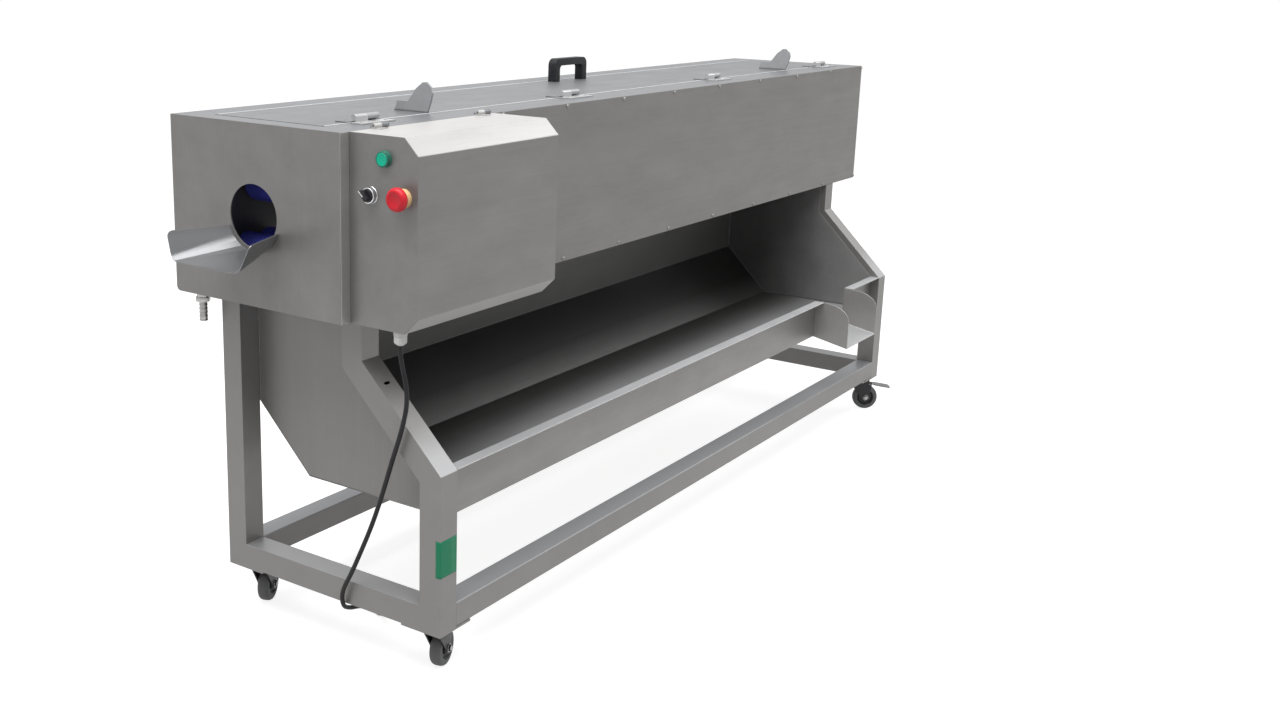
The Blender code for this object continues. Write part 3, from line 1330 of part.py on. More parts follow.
def make_roller_arm(name, x):
    """Two side plates on a cross tube, with a pivot pin at each beam."""
    pivot = Vector((x + ARM_REACH, ARM_PIVOT_Z))
    seat = Vector((x, UPPER_ROLLER_Z))
    along = math.degrees(math.atan2(pivot.y - seat.y, pivot.x - seat.x))
    outline = arc(pivot, ARM_HALF_WIDTH, along - 90, along + 90, 5)
    outline += arc(seat, ARM_HALF_WIDTH, along + 90, along + 270, 5)
    bore = circle(seat, UPPER_SHAFT_RADIUS + GAP, SIDES_SMALL)
    front = flat(name, outline, "Y", ARM_FRONT_Y, ARM_FRONT_Y + ARM_SHEET, [bore])
    back = flat("arm_back", outline, "Y", ARM_BACK_Y - ARM_SHEET, ARM_BACK_Y, [bore])
    axis = (pivot.x, pivot.y)
    inner = ARM_SHEET / 2
    tube_start = (axis[0], ARM_FRONT_Y + inner, axis[1])
    cross = rod("cross", tube_start, (axis[0], ARM_BACK_Y - inner, axis[1]), ARM_TUBE_RADIUS, SIDES_SMALL)
    pin_start = (axis[0], FRONT_BEAM_Y - BEAM_SHEET - ARM_PIN_PAST + BEAM_SHEET, axis[1])
    pin_end = (axis[0], BACK_BEAM_Y + BEAM_SHEET + ARM_PIN_PAST - BEAM_SHEET, axis[1])
    pin = rod("arm_pin", pin_start, pin_end, ARM_PIN_RADIUS, SIDES_SMALL)
    return as_part(fuse(front, back, cross, pin), name, MACHINED, (axis[0], 0, axis[1]))


def make_drive_chain():
    """The chain as a band round all sprockets, which share one height and one size."""
    first = LOWER_ROLLER_PLACES[0]
    last = LOWER_ROLLER_PLACES[-1]
    inner = SPROCKET_TIP_RADIUS + GAP
    outer = inner + CHAIN_THICKNESS
    outlines = [
        arc((first, DRIVE_Z), radius, 90, 270, 12) + arc((last, DRIVE_Z), radius, -90, 90, 12)
        for radius in (outer, inner)
    ]
    end_y = SPROCKET_FRONT_Y + SPROCKET_WIDTH
    as_part(flat("drive_chain", outlines[0], "Y", SPROCKET_FRONT_Y, end_y, outlines[1:]), "drive_chain", MACHINED)


def make_gear_motor():
    """Gearbox with its flange on the front panel and a ribbed motor beside it."""
    half = GEARBOX_LENGTH / 2
    low = (SHAFT_X - half, GEARBOX_FRONT_Y, DRIVE_Z - GEARBOX_BELOW)
    high = (SHAFT_X + half, GEARBOX_BACK_Y, DRIVE_Z + GEARBOX_ABOVE)
    gearbox = block("gear_motor", low, high, GEARBOX_ROUND, 1)
    flange_start = (SHAFT_X, GEARBOX_BACK_Y - WELD, DRIVE_Z)
    flange = rod("flange", flange_start, (SHAFT_X, -GAP, DRIVE_Z), GEARBOX_FLANGE_RADIUS)
    neck_start = SHAFT_X + half - WELD
    profile_end = neck_start + MOTOR_NECK
    core = MOTOR_RADIUS - MOTOR_RIB_HEIGHT
    profile = [(core, -neck_start), (core, -profile_end)]
    for rib in range(MOTOR_RIBS):
        start = profile_end + rib * MOTOR_RIB_PITCH
        profile += [
            (MOTOR_RADIUS, -start),
            (MOTOR_RADIUS, -(start + MOTOR_RIB_WIDTH)),
            (core, -(start + MOTOR_RIB_WIDTH)),
            (core, -(start + MOTOR_RIB_PITCH)),
        ]
    fan_start = profile_end + MOTOR_RIBS * MOTOR_RIB_PITCH
    fan_end = fan_start + MOTOR_FAN_LENGTH
    profile += [(MOTOR_RADIUS, -fan_start), (MOTOR_RADIUS, -fan_end)]
    profile = [(0, -neck_start), *profile, (0, -fan_end)]
    motor = turned("motor", profile, (0, MOTOR_Y, MOTOR_Z), -X_AXIS)
    start = (SHAFT_X, GEARBOX_FRONT_Y - OVERRUN, DRIVE_Z)
    bore = rod("output_bore", start, (SHAFT_X, OVERRUN, DRIVE_Z), DRIVE_SHAFT_RADIUS + GAP)
    as_part(cut(fuse(gearbox, flange, motor), bore), "gear_motor", MOTOR_GREY)


def make_roller_beam(name, web_y, flange_y, outward):
    """An angle beam: a web with bearing bosses and bored holes, and a bottom flange on the end frames."""
    web_far = web_y + outward * BEAM_SHEET
    outline = [
        (web_y, 0),
        (web_y, BEAM_HEIGHT),
        (web_far, BEAM_HEIGHT),
        (web_far, BEAM_SHEET),
        (flange_y, BEAM_SHEET),
        (flange_y, 0),
    ]
    inset = END_SHEET + GAP
    beam = flat(name, outline, "X", inset, HOUSING_LENGTH - inset)
    boss_start = web_far - outward * BEAM_SHEET / 2
    boss_end = web_far + outward * BOSS_LENGTH
    cutter_start = web_y - outward * OVERRUN
    cutter_end = boss_end + outward * OVERRUN
    for x in LOWER_ROLLER_PLACES:
        fuse(beam, rod("boss", (x, boss_start, DRIVE_Z), (x, boss_end, DRIVE_Z), BOSS_RADIUS, SIDES_SMALL))
    for x in LOWER_ROLLER_PLACES:
        start = (x, cutter_start, DRIVE_Z)
        cut(beam, rod("bore", start, (x, cutter_end, DRIVE_Z), LOWER_SHAFT_RADIUS + GAP, SIDES_SMALL))
    for x in UPPER_ROLLER_PLACES:
        start = (x + ARM_REACH, cutter_start, ARM_PIVOT_Z)
        cut(beam, rod("bore", start, (start[0], cutter_end, ARM_PIVOT_Z), ARM_PIN_RADIUS + GAP, SIDES_SMALL))
    as_part(beam, name, STEEL)


def make_knife_head(name, x):
    """A cross plate with a round passage and blades on holders set round it."""
    low = (FRONT_BEAM_Y + GAP, KNIFE_BOTTOM_Z)
    high = (BACK_BEAM_Y - GAP, KNIFE_TOP_Z)
    centre = Vector((TUNNEL_Y, KNIFE_HOLE_Z))
    hole = circle(centre, KNIFE_HOLE_RADIUS)
    plate = flat(name, rectangle(low, high), "X", x, x + KNIFE_SHEET, [hole])
    for index in range(KNIFE_HOLDERS):
        turn = Matrix.Rotation(math.radians(45 + 360 * index / KNIFE_HOLDERS), 2)
        half = KNIFE_HOLDER_WIDTH / 2
        near = KNIFE_HOLE_RADIUS + WELD
        holder_box = rectangle((near, -half), (near + KNIFE_HOLDER_DEPTH, half))
        holder_box = [tuple(centre + turn @ Vector(point)) for point in holder_box]
        end = x + KNIFE_SHEET + KNIFE_HOLDER_LENGTH
        holder = flat("holder", holder_box, "X", x + KNIFE_SHEET - WELD, end)
        tip = near - KNIFE_BLADE_DEPTH
        blade_box = rectangle((tip, -half + WELD), (near + WELD, half - WELD))
        blade_box = [tuple(centre + turn @ Vector(point)) for point in blade_box]
        blade = flat("blade", blade_box, "X", end - KNIFE_BLADE_SHEET - WELD, end - WELD)
        fuse(plate, holder, blade)
    as_part(plate, name, STEEL)


# Casters: made at the origin with the swivel axis on z, the floor at z = 0 and the trail along +x


def fork_leg(y_start, y_end):
    """A side plate of the fork, tapering from the crown to the axle boss."""
    boss = (CASTER_TRAIL, WHEEL_RADIUS)
    top = FORK_TOP_Z - WELD
    crown_half = RACE_LOWER_RADIUS
    outline = [(-crown_half, top), *arc(boss, FORK_BOSS_RADIUS, 205, 385, 6)]
    outline += [(PEDAL_PIN_X + FORK_CROWN, PEDAL_PIN_Z - FORK_CROWN), (PEDAL_PIN_X + FORK_CROWN, top)]
    pin_hole = circle((PEDAL_PIN_X, PEDAL_PIN_Z), PEDAL_PIN_RADIUS + GAP, SIDES_PIN)
    return flat("leg", outline, "Y", y_start, y_end, [pin_hole])


def fork_mesh():
    """Raceway, crown, two legs and the axle bolt in one body."""
    half = FORK_GAP / 2
    far = half + FORK_SHEET
    top = CASTER_HEIGHT - CASTER_PLATE_SHEET - GAP
    race_low = FORK_TOP_Z + FORK_SHEET - WELD
    race_middle = (race_low + top) / 2
    profile = [
        (0, top),
        (RACE_RADIUS, top),
        (RACE_RADIUS, race_middle),
        (RACE_LOWER_RADIUS, race_low),
        (0, race_low),
    ]
    race = turned("race", profile, (0, 0, 0), Z_AXIS, SIDES_SMALL)
    crown_low = (-RACE_LOWER_RADIUS, -far, FORK_TOP_Z - FORK_SHEET)
    crown = block("crown", crown_low, (PEDAL_START_X - FORK_SHEET, far, FORK_TOP_Z + FORK_SHEET))
    fuse(race, crown, fork_leg(-far, -half), fork_leg(half, far))
    end = far + AXLE_HEAD
    axle_start = (CASTER_TRAIL, -far - WELD, WHEEL_RADIUS)
    axle = rod("axle", axle_start, (CASTER_TRAIL, far + WELD, WHEEL_RADIUS), AXLE_RADIUS, SIDES_PIN)
    heads = [
        rod(
            "axle_head",
            (CASTER_TRAIL, side * (far - WELD), WHEEL_RADIUS),
            (CASTER_TRAIL, side * end, WHEEL_RADIUS),
            AXLE_HEAD_RADIUS,
            6,
        )
        for side in (-1, 1)
    ]
    return baked(fuse(race, axle, *heads))


def wheel_mesh():
    """A tread with rounded shoulders and a wider hub, bored for the axle."""
    half = WHEEL_WIDTH / 2
    hub = HUB_WIDTH / 2
    bore = AXLE_RADIUS + GAP
    profile = [
        (bore, hub),
        (HUB_RADIUS, hub),
        (WHEEL_RADIUS - WHEEL_ROUND, half),
        (WHEEL_RADIUS, half - WHEEL_ROUND),
        (WHEEL_RADIUS, WHEEL_ROUND - half),
        (WHEEL_RADIUS - WHEEL_ROUND, -half),
        (HUB_RADIUS, -hub),
        (bore, -hub),
    ]
    return baked(turned("wheel", profile, (0, 0, 0), Y_AXIS))


def pedal_mesh():
    """A foot plate on a pin between the fork's legs, wider past the fork, tilted down at its tip."""
    narrow = PEDAL_NARROW / 2
    wide = PEDAL_WIDE / 2
    corner = PEDAL_WIDE / 5
    outline = [
        (PEDAL_START_X, -narrow),
        (PEDAL_STEP_X - corner, -narrow),
        (PEDAL_STEP_X, -wide),
        *arc((PEDAL_END_X - corner, -wide + corner), corner, -90, 0, 3),
        *arc((PEDAL_END_X - corner, wide - corner), corner, 0, 90, 3),
        (PEDAL_STEP_X, wide),
        (PEDAL_STEP_X - corner, narrow),
        (PEDAL_START_X, narrow),
    ]
    plate = flat("pedal", outline, "Z", PEDAL_PIN_Z - PEDAL_SHEET / 2, PEDAL_PIN_Z + PEDAL_SHEET / 2)
    hinge = Matrix.Translation((PEDAL_PIN_X, 0, PEDAL_PIN_Z))
    plate.matrix_local = hinge @ Matrix.Rotation(PEDAL_TILT, 4, "Y") @ hinge.inverted()
    far = FORK_GAP / 2 + FORK_SHEET + WELD
    pin = rod("pedal_pin", (PEDAL_PIN_X, -far, PEDAL_PIN_Z), (PEDAL_PIN_X, far, PEDAL_PIN_Z), PEDAL_PIN_RADIUS, SIDES_PIN)
    return baked(fuse(plate, pin))


def add_caster_piece(name, mesh, finish, carrier, location, origin=(0, 0, 0)):
    piece = helper(name, mesh)
    as_part(piece, name, finish)
    if Vector(origin).length:
        mesh.transform(Matrix.Translation(-Vector(origin)))
    piece.parent = carrier
    piece.location = location
    return piece


def make_casters():
    half = CASTER_PLATE / 2
    left_x = FRAME_LEFT_X + half
    right_x = FRAME_RIGHT_X - half
    front_y = FRAME_FRONT_Y + half
    back_y = FRAME_BACK_Y - half
    places = (
        ("front_left", left_x, front_y, FRONT_LEFT_TRAIL_ANGLE, False),
        ("back_left", left_x, back_y, BACK_LEFT_TRAIL_ANGLE, False),
        ("front_right", right_x, front_y, FRONT_RIGHT_TRAIL_ANGLE, True),
        ("back_right", right_x, back_y, BACK_RIGHT_TRAIL_ANGLE, True),
    )
    fork, wheel, pedal = fork_mesh(), wheel_mesh(), pedal_mesh()
    pin_place = Vector((PEDAL_PIN_X, 0, PEDAL_PIN_Z))
    pedal.transform(Matrix.Translation(-pin_place))
    for corner, x, y, angle, braked in places:
        carrier = add_caster_piece("caster_fork_" + corner, fork.copy(), CASTER_STEEL, ROOT, (x, y, FLOOR))
        carrier.rotation_euler = (0, 0, angle)
        hub = (CASTER_TRAIL, 0, WHEEL_RADIUS)
        add_caster_piece("caster_wheel_" + corner, wheel.copy(), CASTER_RUBBER, carrier, hub)
        if braked:
            add_caster_piece("brake_pedal_" + corner, pedal.copy(), MACHINED, carrier, pin_place)


# Cord


def smooth_route(points, spacing):
    """Evenly spaced points on a smooth curve through the route's own points, never below the floor."""
    points = [Vector(point) for point in points]
    ends = [2 * points[0] - points[1], *points, 2 * points[-1] - points[-2]]
    fine = []
    for a, b, c, d in zip(ends, ends[1:], ends[2:], ends[3:]):
        for step in range(40):
            t = step / 40
            fine.append(
                (2 * b + (c - a) * t + (2 * a - 5 * b + 4 * c - d) * t**2 + (3 * b - a - 3 * c + d) * t**3) / 2
            )
    fine.append(points[-1])
    for point in fine:
        point.z = max(point.z, FLOOR + CORD_RADIUS)
    lengths = [0]
    for before, after in zip(fine, fine[1:]):
        lengths.append(lengths[-1] + (after - before).length)
    count = round(lengths[-1] / spacing)
    result = []
    index = 0
    for number in range(count + 1):
        target = lengths[-1] * number / count
        while index < len(fine) - 2 and lengths[index + 1] < target:
            index += 1
        share = (target - lengths[index]) / (lengths[index + 1] - lengths[index])
        result.append(fine[index].lerp(fine[index + 1], share))
    return result


def coil_points():
    """Loops that spiral in on the floor, climb a layer where they turn, and spiral out on top."""
    diameter = 2 * CORD_RADIUS
    half_turns = COIL_TURNS / 2
    count = round(COIL_TURNS * COIL_STEPS_PER_TURN)
    points = []
    for step in range(count + 1):
        turns = COIL_TURNS * step / count
        away = abs(turns - half_turns)
        radius = COIL_INNER_RADIUS + COIL_PITCH * away
        climb = min(1, max(0, 2 * (turns - half_turns) + 0.5))
        angle = math.pi * (1 - 2 * turns)
        points.append(
            Vector(
                (
                    COIL_CENTRE[0] + radius * math.cos(angle),
                    COIL_CENTRE[1] + radius * math.sin(angle),
                    FLOOR + CORD_RADIUS + COIL_PITCH * climb,
                )
            )
        )
    start_run = (points[0] - points[1]).normalized()
    start_run.z = 0
    end_run = (points[-1] - points[-2]).normalized()
    end_run.z = 0
    return [points[0] + start_run * diameter, *points, points[-1] + end_run * diameter]


def least_gap(points, diameter):
    """The least free space between two stretches of a tube that lie more than a third of a turn apart."""
    apart = COIL_STEPS_PER_TURN // 3
    least = math.inf
    for index in range(len(points) - 1):
        for other in range(index + apart, len(points) - 1):
            middle = (points[index] + points[index + 1]) / 2
            facing = (points[other] + points[other + 1]) / 2
            least = min(
                least,
                (points[index] - points[other]).length,
                (points[index] - facing).length,
                (middle - points[other]).length,
                (middle - facing).length,
            )
    return least - diameter


def make_cord():
    coil = coil_points()
    print("least gap between the coil's loops: %.2f mm" % (1000 * least_gap(coil, 2 * CORD_RADIUS)))
    as_part(tube("cord_coil", coil, CORD_RADIUS, 1), "cord_coil", CORD_RUBBER)
    route = [Vector(point) for point in CORD_ROUTE]
    heading = (coil[1] - coil[0]).normalized()
    last = coil[0] - heading * GAP
    approach = last - heading * CORD_SPACING
    route = [point for point in route if (point - last).length > 2 * CORD_SPACING] + [approach, last]
    as_part(tube("power_cord", smooth_route(route, CORD_SPACING), CORD_RADIUS, 2), "power_cord", CORD_RUBBER)
    return coil[-1], (coil[-1] - coil[-2]).normalized()


def make_plug(end, heading):
    """A rewirable plug with a sleeve for the cord and three flat pins, lying where the cord ends."""
    sleeve_end = GAP + PLUG_SLEEVE_LENGTH
    body_end = sleeve_end + PLUG_LENGTH
    low_z = FLOOR + GAP - end.z
    low = (sleeve_end - WELD, -PLUG_WIDTH / 2, low_z)
    body = block("plug", low, (body_end, PLUG_WIDTH / 2, low_z + PLUG_THICKNESS), PLUG_ROUND)
    sleeve = rod("sleeve", (GAP, 0, 0), (sleeve_end + WELD, 0, 0), PLUG_SLEEVE_RADIUS, SIDES_SMALL)
    middle_z = low_z + PLUG_THICKNESS / 2
    pieces = [sleeve]
    for y, z in ((-PIN_SPREAD, -PIN_WIDTH / 2), (PIN_SPREAD, -PIN_WIDTH / 2), (0, PIN_WIDTH / 2)):
        low = (body_end - WELD, y - PIN_SHEET / 2, middle_z + z - PIN_WIDTH / 2)
        pieces.append(block("pin", low, (body_end + PIN_LENGTH, y + PIN_SHEET / 2, low[2] + PIN_WIDTH)))
    turn = Matrix.Rotation(math.atan2(heading.y, heading.x), 4, "Z")
    mesh = baked(fuse(body, *pieces))
    mesh.transform(Matrix.Translation(end) @ turn)
    as_part(helper("plug", mesh), "plug", BLACK_PLASTIC)


def build():
    make_end_frames()
    make_bottom_rail("front_bottom_rail", FRAME_FRONT_Y)
    make_bottom_rail("back_bottom_rail", FRAME_BACK_Y - TUBE)
    make_peel_trough()
    trough_start, trough_end = trough_ends_x()
    make_trough_end("trough_left_end", trough_start)
    make_trough_end("trough_right_end", trough_end - SHEET)
    make_peel_spout()
    make_end_plate("inlet_end_plate", 0)
    make_end_plate("outlet_end_plate", HOUSING_LENGTH - END_SHEET)
    make_front_panel()
    make_back_panel()
    make_top_rim()
    make_feed_tray()
    make_water_pipe()
    for number, x in enumerate(HINGE_X_PLACES, 1):
        make_lid_hinge("lid_hinge_%d" % number, x)
    lid = make_lid()
    carry(lid, make_lid_handle())
    cover = make_control_cover()
    make_control_box_floor()
    make_cable_gland()
    carry(cover, *make_start_control(), *make_selector_control(), *make_estop_control())
    make_gear_motor()
    make_drive_shaft()
    make_drive_chain()
    make_roller_beam("front_roller_beam", FRONT_BEAM_Y, SHEET + GAP, -1)
    make_roller_beam("back_roller_beam", BACK_BEAM_Y, BACK_LIP_Y - GAP, 1)
    for number, x in enumerate(LOWER_ROLLER_PLACES, 1):
        make_lower_roller("lower_roller_%d" % number, x)
    for number, x in enumerate(UPPER_ROLLER_PLACES, 1):
        arm = make_roller_arm("roller_arm_%d" % number, x)
        carry(arm, make_upper_roller("upper_roller_%d" % number, x))
    for number, x in enumerate(KNIFE_X_PLACES, 1):
        make_knife_head("knife_head_%d" % number, x)
    make_casters()
    make_plug(*make_cord())


build()
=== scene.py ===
"""Looks of a floor-standing vegetable peeling machine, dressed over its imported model."""
import json
import math

import bmesh
import bpy
from mathutils import Matrix, Vector

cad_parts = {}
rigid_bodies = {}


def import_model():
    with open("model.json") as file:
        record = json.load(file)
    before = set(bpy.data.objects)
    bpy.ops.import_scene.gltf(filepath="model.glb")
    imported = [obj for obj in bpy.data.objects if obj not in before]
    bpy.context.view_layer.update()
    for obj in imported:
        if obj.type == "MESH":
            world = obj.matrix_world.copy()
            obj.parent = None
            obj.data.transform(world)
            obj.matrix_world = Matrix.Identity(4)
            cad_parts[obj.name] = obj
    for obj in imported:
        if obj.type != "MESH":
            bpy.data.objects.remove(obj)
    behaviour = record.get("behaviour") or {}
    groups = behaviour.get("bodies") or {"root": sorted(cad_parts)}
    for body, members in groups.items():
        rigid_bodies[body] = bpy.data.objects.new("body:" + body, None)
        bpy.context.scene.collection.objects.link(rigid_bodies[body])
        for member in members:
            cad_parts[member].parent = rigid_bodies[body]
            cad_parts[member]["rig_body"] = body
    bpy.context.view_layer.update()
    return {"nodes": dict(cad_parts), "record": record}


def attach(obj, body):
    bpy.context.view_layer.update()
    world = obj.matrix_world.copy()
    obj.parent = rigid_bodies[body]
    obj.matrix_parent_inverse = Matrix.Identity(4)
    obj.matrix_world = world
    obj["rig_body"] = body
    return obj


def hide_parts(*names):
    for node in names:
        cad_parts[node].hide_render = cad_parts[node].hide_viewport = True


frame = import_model()
HOUSING_CORNER = Vector((-1.1525, -0.0875, 0.689))
X_AXIS, Y_AXIS, Z_AXIS = Vector((1, 0, 0)), Vector((0, 1, 0)), Vector((0, 0, 1))


def at(x, y, z):
    """A place measured from the housing's lower front left corner."""
    return HOUSING_CORNER + Vector((x, y, z))


def loose(name, data):
    obj = bpy.data.objects.new(name, data)
    bpy.context.scene.collection.objects.link(obj)
    return obj


# Camera and cord


def set_camera():
    """The camera that was fitted to the photograph."""
    data = bpy.data.cameras.new("camera")
    data.lens = 39.203
    data.sensor_width = 36
    data.shift_x = 0.10534
    data.shift_y = -0.04304
    right = Vector((0.5834, -0.81199, 0.01782))
    up = Vector((0.18445, 0.15383, 0.97073))
    back = Vector((-0.79096, -0.56304, 0.23951))
    turn = Matrix((right, up, back)).transposed().to_4x4()
    camera = loose("camera", data)
    camera.matrix_world = Matrix.Translation(at(-1.8312, -1.6688, 0.6514)) @ turn
    bpy.context.scene.camera = camera


set_camera()

FLOOR_Z = -HOUSING_CORNER.z
CORD_RADIUS = 0.0045
CORD_ROUTE = (
    (0.0400, -0.1060, -0.0277), (0.0400, -0.1060, -0.0450), (0.0400, -0.1115, -0.0720),
    (0.0400, -0.1190, -0.1020), (0.0400, -0.1200, -0.1400), (0.0400, -0.1080, -0.1900),
    (0.0400, -0.0850, -0.2560), (0.0400, -0.0580, -0.3350), (0.0400, -0.0300, -0.4060),
    (0.0390, 0.0110, -0.4950), (0.0395, 0.0400, -0.5520), (0.0465, 0.0455, -0.5850),
    (0.0670, 0.0475, -0.6000), (0.1025, 0.0475, -0.6110), (0.1475, 0.0485, -0.6380),
    (0.1835, 0.0625, -0.6630), (0.2075, 0.0875, -0.6790), (0.2150, 0.1125, -0.6845),
)
COIL_CENTRE = (0.2695, 0.1325)
COIL_PITCH = 0.0096
COIL_INNER_RADIUS = 0.0362
COIL_TURNS = 3.6
COIL_STEPS = 36  # points in one turn
COIL_APPROACH = 0.026  # the straight run before the coil
ROUTE_STEPS = 6  # points between two of the route


def smooth_line(points, steps):
    """Points on a smooth curve through the given ones, never below the floor."""
    ends = [2 * points[0] - points[1], *points, 2 * points[-1] - points[-2]]
    line = []
    for a, b, c, d in zip(ends, ends[1:], ends[2:], ends[3:]):
        slope, bend, twist = c - a, 2 * a - 5 * b + 4 * c - d, 3 * b - a - 3 * c + d
        for t in (step / steps for step in range(steps)):
            line.append((2 * b + slope * t + bend * t**2 + twist * t**3) / 2)
    line.append(points[-1])
    for point in line:
        point.z = max(point.z, FLOOR_Z + CORD_RADIUS)
    return line


def coil_line():
    """Loops that spiral in on the floor, climb a layer where they turn, and spiral out on top."""
    count = round(COIL_TURNS * COIL_STEPS)
    points = []
    for turns in (COIL_TURNS * step / count for step in range(count + 1)):
        radius = COIL_INNER_RADIUS + COIL_PITCH * abs(turns - COIL_TURNS / 2)
        climb = min(1, max(0, 2 * (turns - COIL_TURNS / 2) + 0.5))
        angle = math.pi * (1 - 2 * turns)
        x = COIL_CENTRE[0] + radius * math.cos(angle)
        y = COIL_CENTRE[1] + radius * math.sin(angle)
        points.append(Vector((x, y, FLOOR_Z + CORD_RADIUS + COIL_PITCH * climb)))
    return points


def cord_line():
    """The cord's whole centre line: its route, a straight run up to the coil, and the coil."""
    coil = coil_line()
    start = coil[0] + (coil[0] - coil[1]).normalized() * 2 * CORD_RADIUS
    approach = start - (coil[0] - start).normalized() * COIL_APPROACH
    route = [point for point in map(Vector, CORD_ROUTE) if (point - start).length > 2 * COIL_APPROACH]
    end = coil[-1] + (coil[-1] - coil[-2]).normalized() * 2 * CORD_RADIUS
    line = smooth_line([*route, approach, start], ROUTE_STEPS) + coil + [end]
    return [at(*point) for point in line]


# Materials: every pattern reads Object coordinates


def new_node(tree, kind, inputs=(), **settings):
    """A node with its settings, whose inputs are set to values or linked to other sockets."""
    node = tree.nodes.new(kind)
    for key, value in settings.items():
        setattr(node, key, value)
    for key, value in dict(inputs).items():
        if isinstance(value, bpy.types.NodeSocket):
            tree.links.new(value, node.inputs[key])
        else:
            node.inputs[key].default_value = value
    return node


class Finish:
    """A material being built: its shader, and short ways to add its patterns."""

    def __init__(self, name, colour, roughness, metallic=0.0):
        self.material = bpy.data.materials.new(name)
        self.material.use_nodes = True
        self.tree = self.material.node_tree
        self.shader = self.tree.nodes["Principled BSDF"]
        self.material.diffuse_color = (*colour, 1)
        self.put("Base Color", (*colour, 1))
        self.put("Roughness", roughness)
        self.put("Metallic", metallic)
        self.place = self.node("ShaderNodeTexCoord").outputs["Object"]

    def put(self, socket, value):
        self.shader.inputs[socket].default_value = value

    def link(self, source, target):
        self.tree.links.new(source, target)

    def node(self, kind, inputs=(), **settings):
        return new_node(self.tree, kind, inputs, **settings)

    def stretched(self, scale):
        return self.node("ShaderNodeMapping", {"Vector": self.place, "Scale": scale}).outputs["Vector"]

    def noise(self, scale, detail=3.0, rough=0.55, place=None):
        inputs = {"Vector": place or self.place, "Scale": scale, "Detail": detail, "Roughness": rough}
        return self.node("ShaderNodeTexNoise", inputs).outputs["Fac"]

    def spread(self, factor, low, high, start=0.3, end=0.7):
        inputs = {"Value": factor, "From Min": start, "From Max": end, "To Min": low, "To Max": high}
        return self.node("ShaderNodeMapRange", inputs).outputs["Result"]

    def stops(self, axis, shares):
        """A value that runs through (place, share) pairs along an axis."""
        split = self.node("ShaderNodeSeparateXYZ", {"Vector": self.place})
        first, last = shares[0][0], shares[-1][0]
        along = self.spread(split.outputs[axis], 0.0, 1.0, first, last)
        ramp = self.node("ShaderNodeValToRGB", {"Fac": along})
        points = ramp.color_ramp.elements
        for index, (place, share) in enumerate(shares):
            at_share = (place - first) / (last - first)
            point = points[index] if index < 2 else points.new(at_share)
            point.position = at_share
            point.color = (share, share, share, 1)
        return ramp.outputs["Color"]

    def attribute(self, name):
        return self.node("ShaderNodeAttribute", attribute_name=name).outputs["Fac"]

    def combine(self, operation, first, second):
        return self.node("ShaderNodeMath", {0: first, 1: second}, operation=operation).outputs["Value"]

    def blend(self, factor, first, second):
        """A mix of two colours. Their sockets are the node's inputs 6 and 7 and its output 2."""
        first, second = ((*value, 1) if isinstance(value, tuple) else value for value in (first, second))
        return self.node("ShaderNodeMix", {0: factor, 6: first, 7: second}, data_type="RGBA").outputs[2]

    def paint(self, colour):
        self.link(colour, self.shader.inputs["Base Color"])

    def roughen(self, factor):
        self.link(factor, self.shader.inputs["Roughness"])

    def bump(self, height, distance, strength):
        node = self.node("ShaderNodeBump", {"Height": height, "Distance": distance, "Strength": strength})
        current = self.shader.inputs["Normal"]
        if current.is_linked:
            self.link(current.links[0].from_socket, node.inputs["Normal"])
        self.link(node.outputs["Normal"], current)


def shade(colour, share):
    return tuple(channel * share for channel in colour)


def brushed_steel(name, colour, grain="X", roughness=0.44, smudges=0.6, painted_shade=(), metallic=0.4,
                  painted_skylight=None):
    """Sheet with a brushed grain along one axis, faint streaks, wipe marks and cloudy patches.

    The shade stops hold pairs of an axis and its (place, share) stops, as painted shade: the share of its
    colour that the sheet has from place to place, dark where a sheet is unlit. With a raised colour, a small
    zone of high share is a painted highlight. The least share counts.
    The skylight holds a paler colour, an axis and stops: a painted skylight, how much of it the faces that
    look up take on.
    """
    finish = Finish(name, colour, roughness, metallic)

    def drawn(across, along):
        return finish.stretched([along if axis in grain else across for axis in "XYZ"])

    fine = finish.noise(1.0, 2.0, 0.6, drawn(420.0, 5.0))
    streaks = finish.noise(1.0, 3.0, 0.6, drawn(34.0, 1.1))
    patches = finish.noise(2.6, 4.0, 0.55)
    wiped = finish.noise(9.0, 5.0, 0.7)
    streaky = finish.spread(streaks, -0.5, 0.5)
    cloudy = finish.spread(patches, -0.8 * smudges, 0.8 * smudges)
    tone = finish.spread(finish.combine("ADD", streaky, cloudy), 0.0, 1.0, -1.3, 1.3)
    base = finish.blend(tone, shade(colour, 0.96), shade(colour, 1.05))
    if grain:
        base = finish.blend(finish.spread(fine, 0.0, 0.22), base, shade(colour, 0.90))
    # Painted shade: the stops darken the colour towards black where the sheet is unlit, with a faint random
    # mottle.
    if painted_shade:
        stain = finish.noise(5.0, 5.0, 0.65, finish.stretched((1.0, 3.0, 3.0)))
        shares = finish.stops(*painted_shade[0])
        for more in painted_shade[1:]:
            shares = finish.combine("MINIMUM", shares, finish.stops(*more))
        shares = finish.combine("MULTIPLY", shares, finish.spread(stain, 0.92, 1.08))
        base = finish.blend(shares, (0, 0, 0), base)
    # Painted skylight: faces that look up take on the paler colour, as far as the stops allow.
    if painted_skylight:
        pale, axis, stops = painted_skylight
        share = finish.combine("MULTIPLY", finish.attribute("upward"), finish.stops(axis, stops))
        base = finish.blend(share, base, pale)
    finish.paint(base)
    worn = finish.spread(wiped, -0.03 * smudges, 0.05 * smudges)
    if grain:
        worn = finish.combine("ADD", finish.spread(fine, -0.04, 0.04), worn)
        finish.bump(fine, 0.00004, 0.5)
    finish.roughen(finish.combine("ADD", worn, roughness))
    finish.bump(patches, 0.0010, 0.25 * smudges)
    return finish.material


